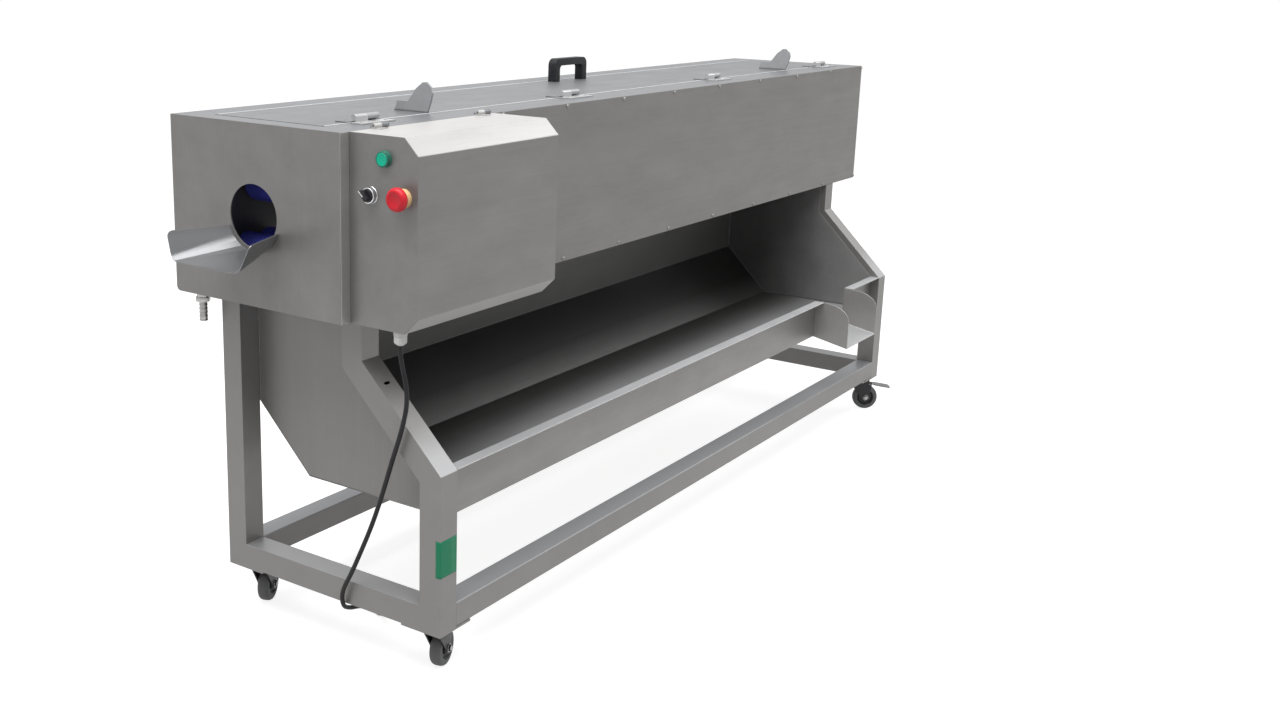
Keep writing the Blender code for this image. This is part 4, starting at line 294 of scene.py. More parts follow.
def plain_metal(name, colour, roughness, metallic=1.0, grime=(0.03, 0.03, 0.03)):
    """Turned or pressed metal with fine tool marks and a little grime."""
    finish = Finish(name, colour, roughness, metallic)
    marks = finish.noise(900.0, 2.0)
    patches = finish.noise(38.0, 4.0, 0.65)
    base = finish.blend(finish.spread(patches, 0.0, 0.30, 0.45, 0.8), colour, grime)
    finish.paint(base)
    finish.roughen(finish.spread(patches, roughness - 0.07, roughness + 0.10))
    finish.bump(marks, 0.00008, 0.5)
    return finish.material


def moulded(name, colour, roughness, grain=1400.0, depth=0.00008, dust=0.06):
    """Moulded plastic or rubber: a fine grain, faint cloudiness and a trace of dust."""
    finish = Finish(name, colour, roughness)
    fine = finish.noise(grain, 2.0)
    patches = finish.noise(46.0, 4.0, 0.6)
    pale = tuple(min(1.0, channel * (1 - dust) + 0.45 * dust) for channel in colour)
    base = finish.blend(finish.spread(patches, 0.0, 1.0), shade(colour, 0.94), pale)
    finish.paint(base)
    finish.roughen(finish.spread(patches, roughness - 0.05, roughness + 0.08))
    finish.bump(fine, depth, 0.6)
    return finish.material


def less_gloss(material, level=0.22):
    material.node_tree.nodes["Principled BSDF"].inputs["Specular IOR Level"].default_value = level
    return material


STEEL_TONE = (0.212, 0.206, 0.199)
STEEL_X = brushed_steel("steel_brushed_along", STEEL_TONE)
STEEL_Z = brushed_steel("steel_brushed_upright", STEEL_TONE, "Z")

# Painted shade and light on the front panel: its inner face is darkened; at its left end the corner keeps the
# full raised colour as a painted highlight, and the recessed strip beside the control box nearly so, as
# painted light against the box's shade; the rest gets a lower share.
PANEL_PAINTED_SHADE = ((-0.0876, 1.0), (-0.0869, 1.0), (-0.0861, 0.30))
STRIP_PAINTED_LIGHT = ((-1.1530, 1.0), (-1.1505, 1.0), (-1.1490, 0.90), (-1.1290, 0.90), (-1.1275, 0.51),
                (-1.0, 0.51))
STEEL_FRONT = brushed_steel("steel_front_panel", (0.379, 0.368, 0.355),
                            painted_shade=[("Y", PANEL_PAINTED_SHADE), ("X", STRIP_PAINTED_LIGHT)])
# Painted shade on the back panel's inner face.
BACK_PAINTED_SHADE = ((0.3526, 0.3), (0.3534, 1.0), (0.3546, 1.0))
STEEL_BACK = brushed_steel("steel_back_panel", STEEL_TONE, painted_shade=[("Y", BACK_PAINTED_SHADE)])
# Painted highlight: a narrow zone at the inlet plate's front corner keeps the full raised colour; the rest
# gets a lower share.
INLET_PAINTED_HIGHLIGHT = ((-0.0890, 1.0), (-0.0856, 1.0), (-0.0842, 0.59), (0.0, 0.59))
STEEL_INLET = brushed_steel("steel_inlet_plate", (0.360, 0.350, 0.338), "Z", painted_shade=[("Y", INLET_PAINTED_HIGHLIGHT)])

TUBE_TONE = (0.222, 0.217, 0.211)
# Painted skylight: up-facing faces of the end frames take on a paler colour at the height of their bottom
# rails and at the lower end of their slopes; up-facing faces of the bottom rails all do.
TUBE_PAINTED_SKYLIGHT = ((0.50, 0.505, 0.52), "Z", ((0.10, 0.5), (0.16, 0.5), (0.17, 0.0), (0.36, 0.0), (0.38, 1.0),
                                       (0.45, 0.75), (0.50, 0.10), (0.62, 0.0)))
RAIL_PAINTED_SKYLIGHT = ((0.38, 0.388, 0.40), "Z", ((0.0, 1.0), (1.0, 1.0)))
STEEL_TUBE = brushed_steel("steel_tube_satin", TUBE_TONE, "", 0.45, 0.9, painted_skylight=TUBE_PAINTED_SKYLIGHT)
STEEL_RAIL = brushed_steel("steel_rail_satin", TUBE_TONE, "", 0.45, 0.9, painted_skylight=RAIL_PAINTED_SKYLIGHT)

LID_HEIGHTS = ((1.0200, 0.47), (1.0440, 0.47), (1.0455, 1.0))
STEEL_TOP = brushed_steel("steel_rim_sheet", (0.175, 0.181, 0.192), "X", 0.40, 0.9)
STEEL_LID = brushed_steel("steel_lid_sheet", (0.36, 0.368, 0.38), "X", 0.42, 0.9, [("Z", LID_HEIGHTS)])
STEEL_HINGE = brushed_steel("steel_hinge_leaf", (0.46, 0.46, 0.465), "X", 0.34, 0.8)

# Painted shade in the trough: full colour on the lip, darker towards the back, darkest on the back slope,
# lighter at the back edge. Painted skylight: the up-facing lip and front of the floor take on a paler colour.
TROUGH_PAINTED_SHADE = ((-0.2785, 1.0), (-0.2540, 1.0), (-0.2520, 0.72), (-0.2490, 0.9), (-0.12, 0.70), (0.0, 0.36),
                (0.0965, 0.20), (0.0985, 0.23), (0.15, 0.06), (0.2305, 0.13), (0.2318, 0.60))
TROUGH_PAINTED_SKYLIGHT = ((0.70, 0.71, 0.725), "Y", ((-0.2785, 0.72), (-0.2535, 0.72), (-0.2490, 0.70), (-0.13, 0.56),
                                         (-0.05, 0.26), (0.0, 0.08), (0.05, 0.0), (0.1, 0.0)))
STEEL_TROUGH = brushed_steel("steel_trough_sheet", (0.30, 0.294, 0.286), "X", 0.42, 0.9,
                             [("Y", TROUGH_PAINTED_SHADE)], painted_skylight=TROUGH_PAINTED_SKYLIGHT)
# Painted shade on the trough's right end plate, darker towards the back.
TROUGH_END_PAINTED_SHADE = ((-0.17, 1.0), (0.0, 0.65), (0.12, 0.42))
STEEL_TROUGH_END = brushed_steel("steel_trough_end", (0.31, 0.308, 0.306), "Z", 0.42, 0.9, [("Y", TROUGH_END_PAINTED_SHADE)])

# Painted highlight: the control cover's top and bottom chamfers keep its full, raised colour; its flat faces
# and its left wall get a lower share.
BOX_PAINTED_HIGHLIGHT_HEIGHTS = ((0.685, 1.0), (0.7185, 1.0), (0.7205, 0.42), (1.0095, 0.42), (1.0115, 1.0), (1.0190, 1.0))
BOX_PAINTED_HIGHLIGHT_LENGTH = ((-1.1290, 0.42), (-1.1272, 0.42), (-1.1264, 1.0), (-1.0, 1.0))
STEEL_BOX = brushed_steel("steel_box_cover", (0.485, 0.478, 0.468),
                          painted_shade=[("Z", BOX_PAINTED_HIGHLIGHT_HEIGHTS), ("X", BOX_PAINTED_HIGHLIGHT_LENGTH)])
# Painted shade: a dark sheet for the beams, knife heads and roller arms inside the housing, and for welds in
# corners, where only shade falls.
STEEL_IN_PAINTED_SHADE = brushed_steel("steel_inside_unlit", (0.150, 0.150, 0.153), "X", 0.50, 0.9)
STEEL_TRAY = brushed_steel("steel_tray_sheet", (0.185, 0.187, 0.193), "", 0.33, 0.4, metallic=0.6)

# Painted highlight: a pale steel for the hems that stand for light along the lid's edges.
STEEL_HEM_PAINTED_HIGHLIGHT = plain_metal("steel_hem_painted_highlight", (0.74, 0.745, 0.76), 0.40, 0.3, (0.5, 0.5, 0.5))
MACHINED = plain_metal("machined_steel", (0.36, 0.355, 0.35), 0.32)
WELD_STEEL = plain_metal("weld_bead_steel", (0.27, 0.26, 0.25), 0.38)
SCREW_STEEL = plain_metal("screw_steel", (0.27, 0.267, 0.262), 0.34, 0.7)
CHAIN_STEEL = plain_metal("oiled_chain_steel", (0.20, 0.19, 0.175), 0.34)
CHROME = plain_metal("polished_ring", (0.62, 0.62, 0.63), 0.20)
ZINC = plain_metal("zinc_plate", (0.34, 0.335, 0.34), 0.36)
CASTER_COAT = plain_metal("caster_dark_coat", (0.016, 0.016, 0.018), 0.42, 0.4, (0.035, 0.035, 0.036))
PEDAL_STEEL = plain_metal("pedal_steel", (0.16, 0.16, 0.165), 0.40, 0.6)
MOTOR_PAINT = plain_metal("motor_enamel", (0.16, 0.18, 0.20), 0.45, 0.1, (0.05, 0.05, 0.05))

BLUE_RUBBER = moulded("blue_roller_rubber", (0.112, 0.126, 0.78), 0.36, 700.0, 0.0002, 0.06)
TREAD = moulded("caster_tread_rubber", (0.090, 0.091, 0.094), 0.62, 500.0, 0.0004, 0.12)
WHITE_NYLON = moulded("white_gland_nylon", (0.72, 0.72, 0.70), 0.45)
GREEN_RING = moulded("dark_green_ring", (0.010, 0.135, 0.090), 0.32)
CREAM_BASE = moulded("yellow_stop_base", (0.76, 0.50, 0.24), 0.42)
MARK_WHITE = moulded("pointer_white", (0.80, 0.80, 0.78), 0.45)
BLACK_GRIP = moulded("black_handle_plastic", (0.010, 0.0105, 0.014), 0.42, 1200.0, 0.0001, 0.02)
less_gloss(BLACK_GRIP, 0.25)
GREEN_CAP = less_gloss(moulded("green_button_cap", (0.008, 0.50, 0.31), 0.30, 2500.0, 0.00002, 0.0))
RED_CAP = less_gloss(moulded("red_stop_cap", (0.66, 0.022, 0.036), 0.30, 2500.0, 0.00002, 0.0))
CORD_SHEATH = less_gloss(moulded("cord_sheath", (0.010, 0.010, 0.012), 0.46, 900.0, 0.0001, 0.02))
GREEN_PATCH = less_gloss(moulded("green_patch", (0.014, 0.215, 0.105), 0.50, 60.0, 0.0001, 0.0))


# Making pieces

SMOOTH_ANGLE = 35
EASED_SMOOTH_ANGLE = 40
FLAT_ANGLE = 0.5  # faces that meet at less are one flat face
EDGE_ANGLE = 24  # faces that meet at less need no rounding
SLOTS = {row["node"]: row["material_slot"] for row in frame["record"]["subparts"]}


def soften(mesh, angle=SMOOTH_ANGLE):
    """Smooth shading that stays sharp where faces meet at more than the angle."""
    mesh.shade_smooth()
    mesh.set_sharp_from_angle(angle=math.radians(angle))
    return mesh


def mesh_of(bm, name, smooth=SMOOTH_ANGLE):
    mesh = bpy.data.meshes.new(name)
    bm.to_mesh(mesh)
    bm.free()
    return soften(mesh, smooth)


def add(name, data, finish, body, slot, *stands_for):
    """A finished piece that rides on a body, and stands for the nodes named."""
    data.materials.clear()
    data.materials.append(finish)
    obj = loose(name, data)
    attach(obj, body)
    if stands_for:
        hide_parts(*stands_for)
    return obj


def evaluated(obj):
    """The mesh that an object's modifiers leave. The object is removed."""
    bpy.context.view_layer.update()
    graph = bpy.context.evaluated_depsgraph_get()
    mesh = bpy.data.meshes.new_from_object(obj.evaluated_get(graph))
    mesh.transform(obj.matrix_world)
    bpy.data.objects.remove(obj)
    return mesh


def eased(obj, width, segments=3, weighted=False):
    modifier = obj.modifiers.new("eased_edges", "BEVEL")
    modifier.width = width
    modifier.segments = segments
    modifier.limit_method = "WEIGHT" if weighted else "ANGLE"
    modifier.angle_limit = math.radians(30)
    return obj


def flat_faces(obj):
    """Weighted normals, so that a wide flat face stays flat beside its rounded folds."""
    modifier = obj.modifiers.new("flat_faces", "WEIGHTED_NORMAL")
    modifier.keep_sharp = True
    modifier.weight = 80
    return obj


def mark_upward(mesh):
    """How far each face looks up, for the finishes that paint a skylight on faces that look up."""
    upward = mesh.attributes.new("upward", "FLOAT", "FACE")
    for face, share in zip(mesh.polygons, upward.data):
        share.value = max(0.0, face.normal.z)


def clean_up(bm, merge):
    """Joins doubled vertices, and clears the edges that lie in a flat face."""
    bmesh.ops.remove_doubles(bm, verts=bm.verts, dist=merge)
    bmesh.ops.dissolve_limit(bm, angle_limit=math.radians(FLAT_ANGLE), verts=bm.verts, edges=bm.edges)


def dressed(node, finish, fold, trim=0.0003, long_edge=0.03, big_face=0.0005):
    """A node's own form in its place. An edge that is long, between big faces, is a fold and gets
    the fold's rounding. Any other edge is a cut and gets the trim's."""
    source = frame["nodes"][node]
    bm = bmesh.new()
    bm.from_mesh(source.data)
    clean_up(bm, 0.00003)
    weights = bm.edges.layers.float.new("bevel_weight_edge")
    for edge in bm.edges:
        if len(edge.link_faces) != 2 or edge.calc_face_angle(0) < math.radians(EDGE_ANGLE):
            continue
        smaller = min(face.calc_area() for face in edge.link_faces)
        is_fold = edge.calc_length() > long_edge and smaller > big_face
        edge[weights] = 1.0 if is_fold else trim / fold
    obj = loose(node + "_form", mesh_of(bm, node + "_form"))
    mesh = soften(evaluated(eased(obj, fold, weighted=True)), EASED_SMOOTH_ANGLE)
    mesh = evaluated(flat_faces(loose(node + "_eased", mesh)))
    mark_upward(mesh)
    return add(node + ".dressed", mesh, finish, source["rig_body"], SLOTS[node], node)


def towards(direction):
    return Z_AXIS.rotation_difference(Vector(direction)).to_matrix().to_4x4()


def arc(centre, radius, start, end, steps):
    angles = [math.radians(start + (end - start) * step / steps) for step in range(steps + 1)]
    return [(centre[0] + radius * math.cos(a), centre[1] + radius * math.sin(a)) for a in angles]


def lathed(name, profile, centre, direction, steps=56, smooth=SMOOTH_ANGLE):
    """A profile of (radius, height) turned about a line through centre. A hollow one is closed."""
    bm = bmesh.new()
    angles = [2 * math.pi * step / steps for step in range(steps)]
    rings = []
    for radius, height in profile:
        around = [(radius * math.cos(a), radius * math.sin(a)) for a in angles] if radius > 0 else [(0, 0)]
        rings.append([bm.verts.new((x, y, height)) for x, y in around])
    if min(radius for radius, _ in profile) > 0:
        rings.append(rings[0])
    for upper, lower in zip(rings, rings[1:]):
        for step in range(steps):
            here, after = ([ring[place % len(ring)] for ring in (upper, lower)] for place in (step, step + 1))
            corners = list(dict.fromkeys([*here, *reversed(after)]))
            if len(corners) > 2:
                bm.faces.new(corners)
    bmesh.ops.recalc_face_normals(bm, faces=bm.faces)
    bmesh.ops.transform(bm, matrix=Matrix.Translation(Vector(centre)) @ towards(direction), verts=bm.verts)
    return mesh_of(bm, name, smooth)


def rounded_profile(points, radius, steps=3):
    """A profile whose inner corners are turned into small arcs."""
    result = [points[0]]
    for before, corner, after in zip(points, points[1:], points[2:]):
        corner_at, reach = Vector(corner), []
        for other in (before, after):
            run = Vector(other) - corner_at
            reach.append(corner_at + run.normalized() * min(radius, run.length * 0.45))
        for t in (step / steps for step in range(steps + 1)):
            result.append(tuple((1 - t) ** 2 * reach[0] + 2 * t * (1 - t) * corner_at + t**2 * reach[1]))
    return [*result, points[-1]]


def mirrored(profile):
    """A profile and, after it, its mirror image below."""
    return [*profile, *((radius, -height) for radius, height in reversed(profile))]


def add_line(curve, places, closed=False):
    spline = curve.splines.new("POLY")
    spline.points.add(len(places) - 1)
    for point, place in zip(spline.points, places):
        point.co = (*place, 1)
    spline.use_cyclic_u = closed


def round_run(name, places, radius, resolution=2):
    """A curve of round section, with capped ends."""
    curve = bpy.data.curves.new(name, "CURVE")
    curve.dimensions = "3D"
    curve.bevel_depth = radius
    curve.bevel_resolution = resolution
    curve.use_fill_caps = True
    add_line(curve, places)
    return curve


def cut_sheet(name, outline, start, end, ease, segments):
    """A flat drawing in the housing's x and z, given its thickness along y, its edges eased."""
    curve = bpy.data.curves.new(name, "CURVE")
    curve.dimensions = "2D"
    curve.fill_mode = "BOTH"
    curve.extrude = abs(end - start) / 2
    add_line(curve, [(x, z, 0) for x, z in outline], closed=True)
    bm = bmesh.new()
    bm.from_mesh(evaluated(loose(name + "_drawing", curve)))
    clean_up(bm, 0.00001)
    upright = Matrix(((1, 0, 0, 0), (0, 0, -1, 0), (0, 1, 0, 0), (0, 0, 0, 1)))
    bmesh.ops.transform(bm, matrix=Matrix.Translation(at(0, (start + end) / 2, 0)) @ upright, verts=bm.verts)
    bmesh.ops.recalc_face_normals(bm, faces=bm.faces)
    return soften(evaluated(eased(loose(name + "_plain", mesh_of(bm, name)), ease, segments)))


def placed(mesh, matrix):
    mesh.transform(matrix)
    return mesh


def joined(name, meshes, smooth=SMOOTH_ANGLE):
    bm = bmesh.new()
    for mesh in meshes:
        bm.from_mesh(mesh)
    return mesh_of(bm, name, smooth)


def rounded_block(name, low, high, rounding, segments=3):
    bm = bmesh.new()
    bmesh.ops.create_cube(bm, size=1)
    bmesh.ops.scale(bm, vec=Vector(high) - Vector(low), verts=bm.verts)
    bmesh.ops.translate(bm, vec=(Vector(high) + Vector(low)) / 2, verts=bm.verts)
    bmesh.ops.bevel(bm, geom=bm.edges[:], offset=rounding, segments=segments, profile=0.5, affect="EDGES")
    return mesh_of(bm, name)


# Repeats, by Geometry Nodes


class Repeat:
    """A node tree that sets copies of one item, with named inputs, and then makes them real."""

    def __init__(self, name):
        self.tree = bpy.data.node_groups.new(name, "GeometryNodeTree")
        self.tree.interface.new_socket(name="Geometry", in_out="OUTPUT", socket_type="NodeSocketGeometry")
        self.entry = self.tree.nodes.new("NodeGroupInput")
        self.sockets = {}

    def input(self, name, kind):
        socket = self.tree.interface.new_socket(name=name, in_out="INPUT", socket_type="NodeSocket" + kind)
        self.sockets[name] = socket.identifier
        return self.entry.outputs[name]

    def node(self, kind, inputs=(), **settings):
        return new_node(self.tree, kind, inputs, **settings)

    def items_on(self, points, **more):
        item = self.node("GeometryNodeObjectInfo", {"Object": self.input("Item", "Object")})
        inputs = {"Points": points, "Instance": item.outputs["Geometry"], **more}
        return self.node("GeometryNodeInstanceOnPoints", inputs).outputs["Instances"]

    def close(self, geometry):
        real = self.node("GeometryNodeRealizeInstances", {"Geometry": geometry}).outputs["Geometry"]
        inputs = {"Geometry": real, "Material": self.input("Finish", "Material")}
        finish = self.node("GeometryNodeSetMaterial", inputs)
        self.node("NodeGroupOutput", {"Geometry": finish.outputs["Geometry"]})
        return self

    def run(self, name, **values):
        carrier = loose(name + "_carrier", bpy.data.meshes.new(name))
        modifier = carrier.modifiers.new("repeat", "NODES")
        modifier.node_group = self.tree
        for key, value in values.items():
            modifier[self.sockets[key]] = value
        return evaluated(carrier)


def make_row_tree():
    repeat = Repeat("set_in_a_row")
    inputs = {"Count": repeat.input("Count", "Int"), "Start Location": repeat.input("First", "Vector"),
              "Offset": repeat.input("Step", "Vector")}
    line = repeat.node("GeometryNodeMeshLine", inputs, mode="OFFSET")
    return repeat.close(repeat.items_on(line.outputs["Mesh"]))


def make_ring_tree():
    repeat = Repeat("set_in_a_ring")
    count = repeat.input("Count", "Int")
    line = repeat.node("GeometryNodeMeshLine", {"Count": count, "Offset": (0, 0, 0)}, mode="OFFSET")
    share = repeat.node("ShaderNodeMath", {0: 2 * math.pi, 1: count}, operation="DIVIDE").outputs["Value"]
    index = repeat.node("GeometryNodeInputIndex").outputs["Index"]
    angle = repeat.node("ShaderNodeMath", {0: index, 1: share}, operation="MULTIPLY").outputs["Value"]
    about = repeat.node("ShaderNodeCombineXYZ", {"Z": angle}).outputs["Vector"]
    inputs = {"Instances": repeat.items_on(line.outputs["Mesh"]), "Rotation": about}
    return repeat.close(repeat.node("GeometryNodeRotateInstances", inputs).outputs["Instances"])


def make_path_tree():
    repeat = Repeat("set_along_a_path")
    path = repeat.node("GeometryNodeObjectInfo", {"Object": repeat.input("Path", "Object")})
    inputs = {"Curve": path.outputs["Geometry"], "Count": repeat.input("Count", "Int")}
    points = repeat.node("GeometryNodeCurveToPoints", inputs, mode="COUNT").outputs
    return repeat.close(repeat.items_on(points["Points"], Rotation=points["Rotation"]))


ROW, RING, PATH = make_row_tree(), make_ring_tree(), make_path_tree()


def row_of(name, item_mesh, first, step, count, finish, body="machine"):
    item = loose(name + "_item", item_mesh)
    mesh = ROW.run(name, Count=count, First=tuple(first), Step=tuple(step), Item=item, Finish=finish)
    bpy.data.objects.remove(item)
    add(name, mesh, finish, body, "steel")


def ring_mesh(name, item_mesh, count, centre, direction, finish):
    item = loose(name + "_item", item_mesh)
    mesh = RING.run(name, Count=count, Item=item, Finish=finish)
    bpy.data.objects.remove(item)
    return placed(mesh, Matrix.Translation(centre) @ towards(direction))


# Screws, bolts and welds

ORIGIN = (0, 0, 0)


def dome_screw(radius, height, direction):
    """A domed screw head on a thin flange, with a socket sunk in it."""
    socket, floor = radius * 0.42, height - 0.0009
    profile = [(0, floor), (socket, floor), (socket, height * 0.97)]
    profile += [(radius * math.sin(a), height * (0.28 + 0.72 * math.cos(a))) for a in (0.62, 0.9, 1.15, 1.38)]
    profile += [(radius, height * 0.25), (radius * 1.04, height * 0.12), (radius * 1.04, 0), (0, 0)]
    return lathed("dome_screw", profile, ORIGIN, direction, 18)


def hex_bolt(across, height, direction, washer):
    """A hexagon head with a chamfered crown on a plain washer."""
    corner, rim, top = across * 0.577, across * 0.82, height + washer
    head = [(0, top), (across * 0.46, top), (corner, height * 0.82 + washer), (corner, washer)]
    disc = [(0, washer), (across * 0.78, washer), (rim, washer * 0.6), (rim, 0), (0, 0)]
    forms = [lathed("hex_head", head, ORIGIN, direction, 6), lathed("washer", disc, ORIGIN, direction, 20)]
    return joined("hex_bolt", forms)


def weld_bead(name, start, end, width):
    """A seam of small overlapping scales along a joint."""
    count = max(3, round((end - start).length / (width * 0.55)))
    profile = [(width * radius, width * height) for radius, height in
               ((0, 0.3), (0.32, 0.2), (0.5, 0), (0.3, -0.2), (0, -0.3))]
    scale = lathed("scale", profile, ORIGIN, Z_AXIS, 10, 80)
    row_of(name, scale, start, (end - start) / (count - 1), count, WELD_STEEL)


# Frame, trough and housing

TUBE_EASING = (0.0026, 0.0004, 0.045, 0.0012)
for nodes, finish, *easing in (  # easing: the fold, then as far as they are given trim, long_edge, big_face
    ("peel_trough peel_spout", STEEL_TROUGH, 0.0014, 0.00012),
    ("front_panel", STEEL_FRONT, 0.0014),
    ("back_panel", STEEL_BACK, 0.0014),
    ("control_box_floor", STEEL_X, 0.0014),
    ("front_roller_beam back_roller_beam knife_head_1 knife_head_2", STEEL_IN_PAINTED_SHADE, 0.0010),
    ("left_end_frame right_end_frame", STEEL_TUBE, *TUBE_EASING),
    ("front_bottom_rail back_bottom_rail", STEEL_RAIL, *TUBE_EASING),
    ("inlet_end_plate", STEEL_INLET, 0.0008),
    ("outlet_end_plate", STEEL_Z, 0.0008),
    ("trough_left_end", STEEL_Z, 0.0003, 0.00012),
    ("trough_right_end", STEEL_TROUGH_END, 0.0003, 0.00012),
    ("top_rim", STEEL_TOP, 0.0026),
    ("lid", STEEL_LID, 0.0016),
    ("control_cover", STEEL_BOX, 0.0018),
    ("feed_tray", STEEL_TRAY, 0.0006, 0.0005),
    ("lid_hinge_1 lid_hinge_2 lid_hinge_3 lid_hinge_4", STEEL_HINGE, 0.0005),
    ("roller_arm_1 roller_arm_2 roller_arm_3", STEEL_IN_PAINTED_SHADE, 0.0006),
    ("drive_shaft water_pipe", MACHINED, 0.0006),
):
    for node in nodes.split():
        dressed(node, finish, *easing)


def seam(name, places, radius, finish=STEEL_IN_PAINTED_SHADE, body="machine"):
    """A run of weld along a joint, or the hem of a sheet."""
    curve = round_run(name, [at(*place) for place in places], radius)
    add(name, evaluated(loose(name + "_run", curve)), finish, body, "steel")


TROUGH_INSIDE = ((0.3178, -0.0010), (0.3178, -0.2326), (0.1849, -0.3638), (-0.1618, -0.3638),
                 (-0.1618, -0.2700))
for name, x in (("trough_left_seam", 0.1062), ("trough_right_seam", 2.2028)):
    seam(name, [(x, y, z) for y, z in TROUGH_INSIDE], 0.0014)
for name, x in (("left_leg_seam", 0.1050), ("right_leg_seam", 2.2040)):
    seam(name, [(x, 0.3226, -0.001), (x, 0.3226, -0.233)], 0.0017)
# Hems along the lid's front and back edges, pale as a painted highlight.
for name, y in (("lid_front_hem", 0.0876), ("lid_back_hem", 0.3684)):
    seam(name, [(0.0545, y, 0.3522), (2.3655, y, 0.3522)], 0.0008, STEEL_HEM_PAINTED_HIGHLIGHT, "lid")
for name, z in (("plate_tack_upper", -0.050), ("plate_tack_middle", -0.125), ("plate_tack_lower", -0.200)):
    weld_bead(name, at(0.1045, 0.3212, z), at(0.1045, 0.3212, z - 0.012), 0.0034)
weld_bead("strip_foot_weld", at(0.003, -0.0004, 0.0035), at(0.021, -0.0004, 0.0035), 0.0030)

for name, direction, first, pitch, count in (
    ("front_panel_screws_upper", -Y_AXIS, (0.495, 0, 0.346), 0.240, 9),
    ("front_panel_screws_lower", -Y_AXIS, (0.495, 0, 0.007), 0.240, 9),
    ("back_panel_screws_upper", Y_AXIS, (0.015, 0.442, 0.340), 0.239, 11),
):
    row_of(name, dome_screw(0.0046, 0.0030, direction), at(*first), (pitch, 0, 0), count, SCREW_STEEL)

HINGE_SCREW_PITCH = 0.034
hinge_screw = dome_screw(0.0036, 0.0016, Z_AXIS)
for number, x in enumerate((0.165, 0.870, 1.575, 2.280), 1):
    for leaf, body, y, z in (("fixed", "machine", 0.0635, 0.3543), ("moving", "lid", 0.1035, 0.3545)):
        row_of("hinge_%d_%s_screws" % (number, leaf), hinge_screw, at(x - HINGE_SCREW_PITCH, y, z),
               (HINGE_SCREW_PITCH, 0, 0), 3, SCREW_STEEL, body)
cover_screw = dome_screw(0.003, 0.002, Z_AXIS)
for number, x in enumerate((0.105, 0.420), 1):
    for leaf, body, aside, y, z in (("fixed", "machine", 0.010, 0.0140, 0.3543),
                                    ("moving", "control_cover", -0.010, -0.0160, 0.3540)):
        row_of("cover_hinge_%d_%s_screw" % (number, leaf), cover_screw, at(x + aside, y, z),
               (0.01, 0, 0), 1, SCREW_STEEL, body)


def make_handle():
    """A bridge handle: a drawing with round corners inside and out, eased all over."""
    middle, half, base, height = 1.249, 0.074, 0.3528, 0.058
    foot, inner, bar, depth, half_width = 0.022, 0.010, 0.018, 0.338, 0.011
    start, end, top = middle - half, middle + half, base + height
    inside, under = foot + inner, top - bar - inner
    outline = [(start, base), (start + foot, base), *arc((start + inside, under), inner, 180, 90, 6)]
    outline += [*arc((end - inside, under), inner, 90, 0, 6), (end - foot, base), (end, base)]
    outline += [*arc((end - bar, top - bar), bar, 0, 90, 8), *arc((start + bar, top - bar), bar, 90, 180, 8)]
    mesh = cut_sheet("handle_form", outline, depth - half_width, depth + half_width, 0.0052, 4)
    add("lid_handle_grip", mesh, BLACK_GRIP, "lid", "black_plastic", "lid_handle")


# Controls on the left wall of the box

OUTWARD = -X_AXIS
SHANK_RADIUS, SHANK_END, STEM_END = 0.0107, -0.0235, -0.0210


def on_box(y, z):
    return at(0.024, y, z)


def shank(bore):
    """The sleeve that holds a control in the wall."""
    return [(SHANK_RADIUS, 0.0), (SHANK_RADIUS, SHANK_END), (bore, SHANK_END)]


def stem(radius, top):
    """The pin of a button inside its sleeve."""
    return [(radius, top), (radius, STEM_END), (0, STEM_END)]


def turned(name, profile, centre, finish, body, slot, node):
    add(name, lathed(name, profile, centre, OUTWARD), finish, body, slot, node)


def make_start():
    centre = on_box(-0.085, 0.311)
    rim = [(0.0122, 0.0012), (0.0122, 0.0108), (0.0143, 0.0102), (0.0144, 0.0028), (0.0152, 0.0026),
           (0.0152, 0.0)]
    ring = [*rounded_profile(rim, 0.0005), *shank(0.0070), (0.0070, 0.0012)]
    turned("start_ring", ring, centre, GREEN_RING, "control_cover", "dark_green_plastic", "start_bezel")
    rim = rounded_profile([(0.0112, 0.0111), (0.0119, 0.0104), (0.0119, 0.0045)], 0.0006)
    cap = [(0, 0.0104), (0.0078, 0.0107), (0.0104, 0.0111), *rim, *stem(0.0062, 0.0045)]
    turned("start_cap", cap, centre, GREEN_CAP, "start_button", "green_plastic", "start_button")


def make_selector():
    centre = on_box(-0.053, 0.244)
    rim = [(0.0127, 0.0118), (0.0144, 0.0116), (0.0148, 0.0030), (0.0157, 0.0026), (0.0157, 0.0)]
    ring = [(0.0066, 0.0078), (0.0127, 0.0078), *rounded_profile(rim, 0.0007), *shank(0.0066)]
    turned("selector_ring", ring, centre, CHROME, "control_cover", "chrome", "selector_bezel")
    rim = rounded_profile([(0.0090, 0.0142), (0.0118, 0.0134), (0.0120, 0.0086)], 0.0010)
    disc = lathed("knob", [(0, 0.0142), *rim, *stem(0.0060, 0.0086)], centre, OUTWARD)
    turn = Matrix.Translation(centre) @ towards(OUTWARD) @ Matrix.Rotation(math.radians(45), 4, "Z")
    lever = rounded_block("lever", (-0.0105, -0.0032, 0.0130), (0.0122, 0.0032, 0.0262), 0.0014)
    pointer = rounded_block("pointer", (-0.0010, -0.0011, 0.0254), (0.0124, 0.0011, 0.0265), 0.0002, 1)
    grip = joined("selector_grip", [disc, placed(lever, turn)])
    add("selector_grip", grip, BLACK_GRIP, "selector_knob", "black_plastic", "selector_knob")
    add("selector_pointer", placed(pointer, turn), MARK_WHITE, "selector_knob", "white_plastic")


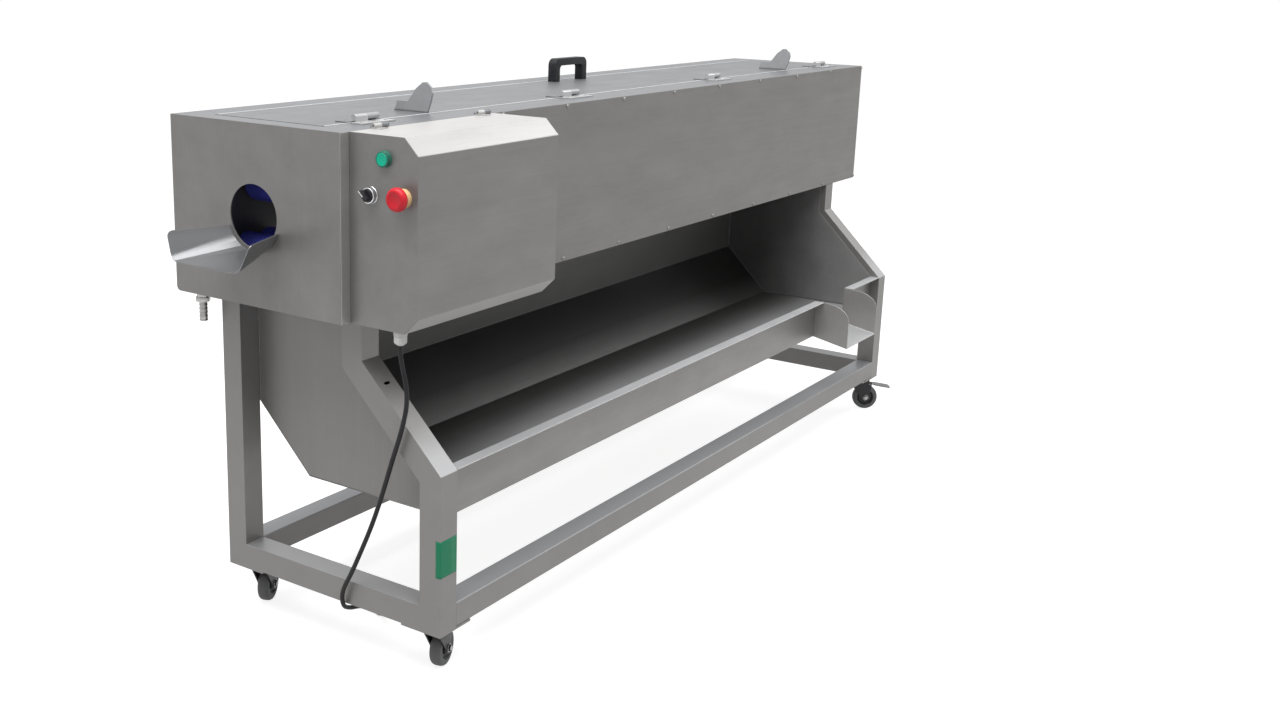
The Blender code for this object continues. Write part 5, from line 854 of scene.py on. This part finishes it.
def make_stop():
    """The collar of the emergency stop, and its head with small ridges to grip."""
    centre = on_box(-0.128, 0.246)
    rim = [(0.0105, 0.0090), (0.0132, 0.0086), (0.0158, 0.0060), (0.0172, 0.0016), (0.0172, 0.0)]
    collar = [(0.0078, 0.0090), *rounded_profile(rim, 0.0012), *shank(0.0078)]
    turned("stop_collar", collar, centre, CREAM_BASE, "control_cover", "yellow_plastic", "estop_base")
    profile = [(0, 0.0278), (0.0120, 0.0281), (0.0140, 0.0290), (0.0168, 0.0287), (0.0192, 0.0270),
               (0.0208, 0.0246), (0.0215, 0.0220), (0.0215, 0.0172), (0.0208, 0.0156), (0.0190, 0.0150),
               (0.0075, 0.0150), (0.0075, -0.0010), *stem(0.0063, -0.0010)]
    ridge = rounded_block("grip", (0.0207, -0.0009, 0.0164), (0.0215, 0.0009, 0.0222), 0.0003, 1)
    ridges = ring_mesh("stop_ridges", ridge, 24, centre, OUTWARD, RED_CAP)
    head = joined("stop_head", [lathed("stop_head", profile, centre, OUTWARD, 72), ridges], 50)
    add("stop_head", head, RED_CAP, "estop_head", "red_plastic", "estop_head")


# Cord, gland and plug


def make_cord():
    line = cord_line()
    curve = round_run("mains_cord", line, CORD_RADIUS, 4)
    cord = add("mains_cord", curve, CORD_SHEATH, "machine", "cord_rubber", "power_cord", "cord_coil")
    plug = dressed("plug", BLACK_GRIP, 0.0012, 0.0008, 0.008, 0.00004)


def make_gland():
    centre = at(0.040, -0.106, 0)
    profile = [(0, -0.0273), (0.0052, -0.0273), (0.0066, -0.0267), (0.0068, -0.0243), (0.0098, -0.0242),
               (0.0113, -0.0228), (0.0116, -0.0210), (0.0117, -0.0092), (0.0112, -0.0088), (0.0112, -0.0083),
               (0.0125, -0.0082), (0.0130, -0.0076), (0.0130, -0.0003), (0.0077, -0.0003), (0.0077, 0.0023),
               (0.0110, 0.0023), (0.0110, 0.0062), (0, 0.0062)]
    rib = rounded_block("rib", (0.0108, -0.0009, -0.0218), (0.0121, 0.0009, -0.0096), 0.0003, 1)
    ribs = ring_mesh("gland_ribs", rib, 14, centre, Z_AXIS, WHITE_NYLON)
    mesh = joined("gland", [lathed("gland_body", profile, centre, Z_AXIS, 40), ribs])
    add("gland", mesh, WHITE_NYLON, "machine", "white_plastic", "cable_gland")


def make_barb():
    """The hexagon of the hose barb and the sharp ridges of its tail, over the plain barb."""
    centre, across, ridge_pitch = at(0.030, 0.400, 0), 0.0152, 0.0079
    bm = bmesh.new()
    bmesh.ops.create_cone(bm, cap_ends=True, segments=6, radius1=across, radius2=across, depth=0.010)
    bmesh.ops.translate(bm, vec=centre + Vector((0, 0, -0.0168)), verts=bm.verts)
    nut = evaluated(eased(loose("barb_nut_form", mesh_of(bm, "barb_nut_form")), 0.0009, 2))
    tail = [(0, -0.0216), (0.0072, -0.0216)]
    for top in (-0.0225 - ridge_pitch * ridge for ridge in range(5)):
        tail += [(0.0088, top - 0.0068), (0.0074, top - ridge_pitch)]
    mesh = joined("barb", [nut, lathed("barb_tail", [*tail, (0, tail[-1][1])], centre, Z_AXIS, 32, 25)])
    add("barb_fitting", mesh, MACHINED, "machine", "machined_steel")


for make in (make_handle, make_start, make_selector, make_stop, make_cord, make_gland, make_barb):
    make()


# Rollers, chain and drive

DRIVE_Z, PRESS_Z = 0.095, 0.215
LOWER_ROLLERS = (0.0875, 0.1475, 1.21, 2.33)
UPPER_ROLLERS = (0.12, 1.21, 2.27)
COVER_START, COVER_END = 0.100, 0.332
CHAIN_Y, CHAIN_RADIUS, CHAIN_PITCH = 0.044, 0.0313, 0.0127
TEETH = 12
TOOTH = ((-0.5, 0.0247), (-0.24, 0.0252), (-0.12, 0.0284), (0.12, 0.0284), (0.24, 0.0252))


def roller_cover(name, centre, bore, radius, shoulder, node):
    """A rubber sleeve whose ends fall off in a shoulder."""
    start, end, fall = COVER_START, COVER_END, 0.0002
    profile = [(bore, start), (radius - shoulder, start + fall), (radius, start + 2 * shoulder),
               (radius, end - 2 * shoulder), (radius - shoulder, end - fall), (bore, end)]
    mesh = lathed("cover", rounded_profile(profile, 0.001), centre, Y_AXIS, 64)
    add(name, mesh, BLUE_RUBBER, node, "blue_rubber", node)


def sprocket(x):
    """Each tooth goes from gap to tip and down again, by shares of the angle that it takes."""
    outline = []
    for tooth in range(TEETH):
        for share, radius in TOOTH:
            angle = 2 * math.pi * (tooth + share) / TEETH
            outline.append((x + radius * math.cos(angle), DRIVE_Z + radius * math.sin(angle)))
    return cut_sheet("sprocket", outline, CHAIN_Y - 0.0035, CHAIN_Y + 0.0035, 0.0005, 1)


for number, x in enumerate(LOWER_ROLLERS, 1):
    name, centre = "lower_roller_%d" % number, at(x, 0, DRIVE_Z)
    roller_cover("roller_cover_%d" % number, centre, 0.0102, 0.0270, 0.0015, name)
    shaft = [(0, 0.0302), (0.0088, 0.0302), (0.0100, 0.0315), (0.0100, 0.3595), (0.0088, 0.3608),
             (0, 0.3608)]
    mesh = joined("shaft", [lathed("shaft", shaft, centre, Y_AXIS, 32), sprocket(x)])
    add("roller_shaft_%d" % number, mesh, MACHINED, name, "machined_steel")
for number, x in enumerate(UPPER_ROLLERS, 1):
    name, centre = "upper_roller_%d" % number, at(x, 0, PRESS_Z)
    roller_cover("press_roller_cover_%d" % number, centre, 0.0082, 0.0350, 0.0020, name)
    shaft = [(0, 0.0884), (0.0080, 0.0884), (0.0080, 0.3436), (0, 0.3436)]
    mesh = lathed("shaft", shaft, centre, Y_AXIS, 32)
    add("press_roller_shaft_%d" % number, mesh, MACHINED, name, "machined_steel")


def make_chain():
    """Links with side plates and rollers, set along the loop round the sprockets."""
    first, last = LOWER_ROLLERS[0], LOWER_ROLLERS[-1]
    loop = arc((first, DRIVE_Z), CHAIN_RADIUS, 90, 270, 14) + arc((last, DRIVE_Z), CHAIN_RADIUS, -90, 90, 14)
    curve = bpy.data.curves.new("chain_loop", "CURVE")
    curve.dimensions = "3D"
    add_line(curve, [at(x, CHAIN_Y, z) for x, z in loop], closed=True)
    count = round((2 * (last - first) + 2 * math.pi * CHAIN_RADIUS) / CHAIN_PITCH)
    half, wall, reach = 0.0022, 0.0005, 0.0066
    forms = [rounded_block("link_plate", (-half, y - wall, -reach), (half, y + wall, reach), 0.0004, 1)
             for y in (-0.0030, 0.0030)]
    pin = mirrored([(0, 0.0038), (0.0018, 0.0038)])
    forms.append(lathed("link_pin", pin, (0, 0, 0.0045), Y_AXIS, 8))
    path, link = loose("chain_path", curve), loose("chain_link", joined("chain_link", forms))
    mesh = PATH.run("chain", Count=count, Path=path, Item=link, Finish=CHAIN_STEEL)
    bpy.data.objects.remove(link)
    bpy.data.objects.remove(path)
    add("chain_links", mesh, CHAIN_STEEL, "machine", "machined_steel", "drive_chain")


make_chain()
dressed("gear_motor", MOTOR_PAINT, 0.0015, 0.0004, 0.02, 0.0004)


# Casters: the place of each one's swivel, and the way its wheel trails, in degrees

CASTERS = {
    "front_left": ((0.1005, -0.1435), 15), "back_left": ((0.1005, 0.3235), 25),
    "front_right": ((2.2085, -0.1435), -55), "back_right": ((2.2085, 0.3235), 25),
}
CASTER_EASING = (0.0008, 0.0004, 0.012, 0.0001)
WHEEL_CENTRE = Vector((0.030, 0, 0.0375))
FORK_HALF_WIDTH = 0.0166
BOLT_REACH, BOLT_Z = 0.034, 0.1009
TREAD_PROFILE = mirrored([(0.0250, 0.0120), (0.0300, 0.0124), (0.0345, 0.0112), (0.0365, 0.0085),
                          (0.0375, 0.0040)])
HUB_PROFILE = mirrored([(0.0040, 0.0134), (0.0125, 0.0134), (0.0140, 0.0122), (0.0145, 0.0085),
                        (0.0200, 0.0070), (0.0235, 0.0108), (0.0256, 0.0118)])


def make_caster(corner, centre, trail):
    plate = Matrix.Translation(at(*centre, FLOOR_Z))
    turn = plate @ Matrix.Rotation(math.radians(trail), 4, "Z")
    fork, wheel = "caster_fork_" + corner, "caster_wheel_" + corner
    dressed(fork, CASTER_COAT, *CASTER_EASING)
    tread = lathed("tread", TREAD_PROFILE, WHEEL_CENTRE, Y_AXIS, 64)
    add("caster_tread_" + corner, placed(tread, turn), TREAD, wheel, "caster_rubber", wheel)
    hub = lathed("hub", HUB_PROFILE, WHEEL_CENTRE, Y_AXIS, 40)
    add("caster_hub_" + corner, placed(hub, turn), CASTER_COAT, wheel, "caster_steel")
    nuts = []
    for outward in (-Y_AXIS, Y_AXIS):
        side = turn @ Matrix.Translation(WHEEL_CENTRE + outward * FORK_HALF_WIDTH)
        nuts.append(placed(hex_bolt(0.0105, 0.0040, outward, 0.0008), side))
    add("caster_axle_nuts_" + corner, joined("axle_nuts", nuts), ZINC, fork, "machined_steel")
    bolts = []
    for x in (-BOLT_REACH, BOLT_REACH):
        for y in (-BOLT_REACH, BOLT_REACH):
            under = plate @ Matrix.Translation((x, y, BOLT_Z))
            bolts.append(placed(hex_bolt(0.010, 0.0050, -Z_AXIS, 0.0010), under))
    add("caster_bolts_" + corner, joined("caster_bolts", bolts), ZINC, "machine", "machined_steel")


for corner, (centre, trail) in CASTERS.items():
    make_caster(corner, centre, trail)
for corner in ("front_right", "back_right"):
    dressed("brake_pedal_" + corner, PEDAL_STEEL, *CASTER_EASING)


def make_patch():
    """A thin sheet folded round the outer corner of the front left leg."""
    x, y, top, bottom = 0.053, -0.191, -0.3935, -0.4666
    lift, corner, front_width, side_width = 0.0005, 0.0012, 0.049, 0.011
    path = [(x + front_width, y - lift), (x + 0.030, y - lift), (x + corner, y - lift)]
    path += arc((x + corner, y + corner), corner + lift, 270, 180, 6)[1:]
    path += [(x - lift, y + 0.0068), (x - lift, y + side_width)]
    bm = bmesh.new()
    heights = [top, top - 0.004, (top + bottom) / 2, bottom + 0.004, bottom]
    rows = [[bm.verts.new(at(u, v, z)) for u, v in path] for z in heights]
    for upper, lower in zip(rows, rows[1:]):
        for index in range(len(path) - 1):
            bm.faces.new((upper[index], lower[index], lower[index + 1], upper[index + 1]))
    bmesh.ops.recalc_face_normals(bm, faces=bm.faces)
    front = max(bm.faces, key=lambda face: abs(face.normal.y))
    if front.normal.y > 0:
        bmesh.ops.reverse_faces(bm, faces=bm.faces)
    obj = loose("patch_form", mesh_of(bm, "patch_form"))
    wall = obj.modifiers.new("wall", "SOLIDIFY")
    wall.thickness = 0.0003
    wall.offset = -1
    add("leg_patch", evaluated(obj), GREEN_PATCH, "machine", "steel")


make_patch()


# Floor, light and world: the camera sees floor and world brighter than they light the part

FLOOR_GLOW = 0.84
WORLD_LIGHT, WORLD_SEEN = 0.39, 1.0


def seen_rays(tree):
    """One for rays that come from the camera, straight, mirrored or through glass, and zero for others."""
    rays = new_node(tree, "ShaderNodeLightPath").outputs
    seen = rays["Is Camera Ray"]
    for kind in ("Is Glossy Ray", "Is Transmission Ray"):
        both = new_node(tree, "ShaderNodeMath", {0: seen, 1: rays[kind]}, operation="MAXIMUM")
        seen = both.outputs["Value"]
    return seen


def make_floor():
    bm = bmesh.new()
    bmesh.ops.create_grid(bm, x_segments=2, y_segments=2, size=40)
    finish = Finish("pale_floor", (0.45, 0.45, 0.45), 0.9)
    finish.put("Specular IOR Level", 0.0)
    share = finish.combine("MULTIPLY", seen_rays(finish.tree), FLOOR_GLOW)
    glow = finish.node("ShaderNodeEmission", {"Strength": share})
    both = finish.node("ShaderNodeAddShader", {0: finish.shader.outputs["BSDF"], 1: glow.outputs["Emission"]})
    finish.link(both.outputs["Shader"], finish.tree.nodes["Material Output"].inputs["Surface"])
    mesh = mesh_of(bm, "floor")
    mesh.materials.append(finish.material)
    loose("floor", mesh)


def make_lamp(name, place, target, size, power):
    data = bpy.data.lights.new(name, "AREA")
    data.shape = "RECTANGLE"
    data.size, data.size_y = size
    data.energy = power
    lamp = loose(name, data)
    lamp.location = place
    lamp.visible_camera = False
    lamp.rotation_mode = "QUATERNION"
    lamp.rotation_quaternion = (Vector(target) - Vector(place)).to_track_quat("-Z", "Y")


def make_world():
    world = bpy.data.worlds.new("studio")
    bpy.context.scene.world = world
    world.use_nodes = True
    tree = world.node_tree
    background = tree.nodes["Background"]
    background.inputs["Color"].default_value = (1, 1, 1, 1)
    inputs = {"Value": seen_rays(tree), "To Min": WORLD_LIGHT, "To Max": WORLD_SEEN}
    strength = new_node(tree, "ShaderNodeMapRange", inputs)
    tree.links.new(strength.outputs["Result"], background.inputs["Strength"])


make_floor()
make_world()
make_lamp("overhead", (-1.8, -0.45, 4.6), (-0.4, 0, 0.7), (5.0, 3.4), 285)
make_lamp("right_sky", (5.2, -2.0, 4.2), (-0.6, 0, 0.9), (3.6, 2.6), 80)
bpy.context.scene.view_settings.view_transform = "Standard"
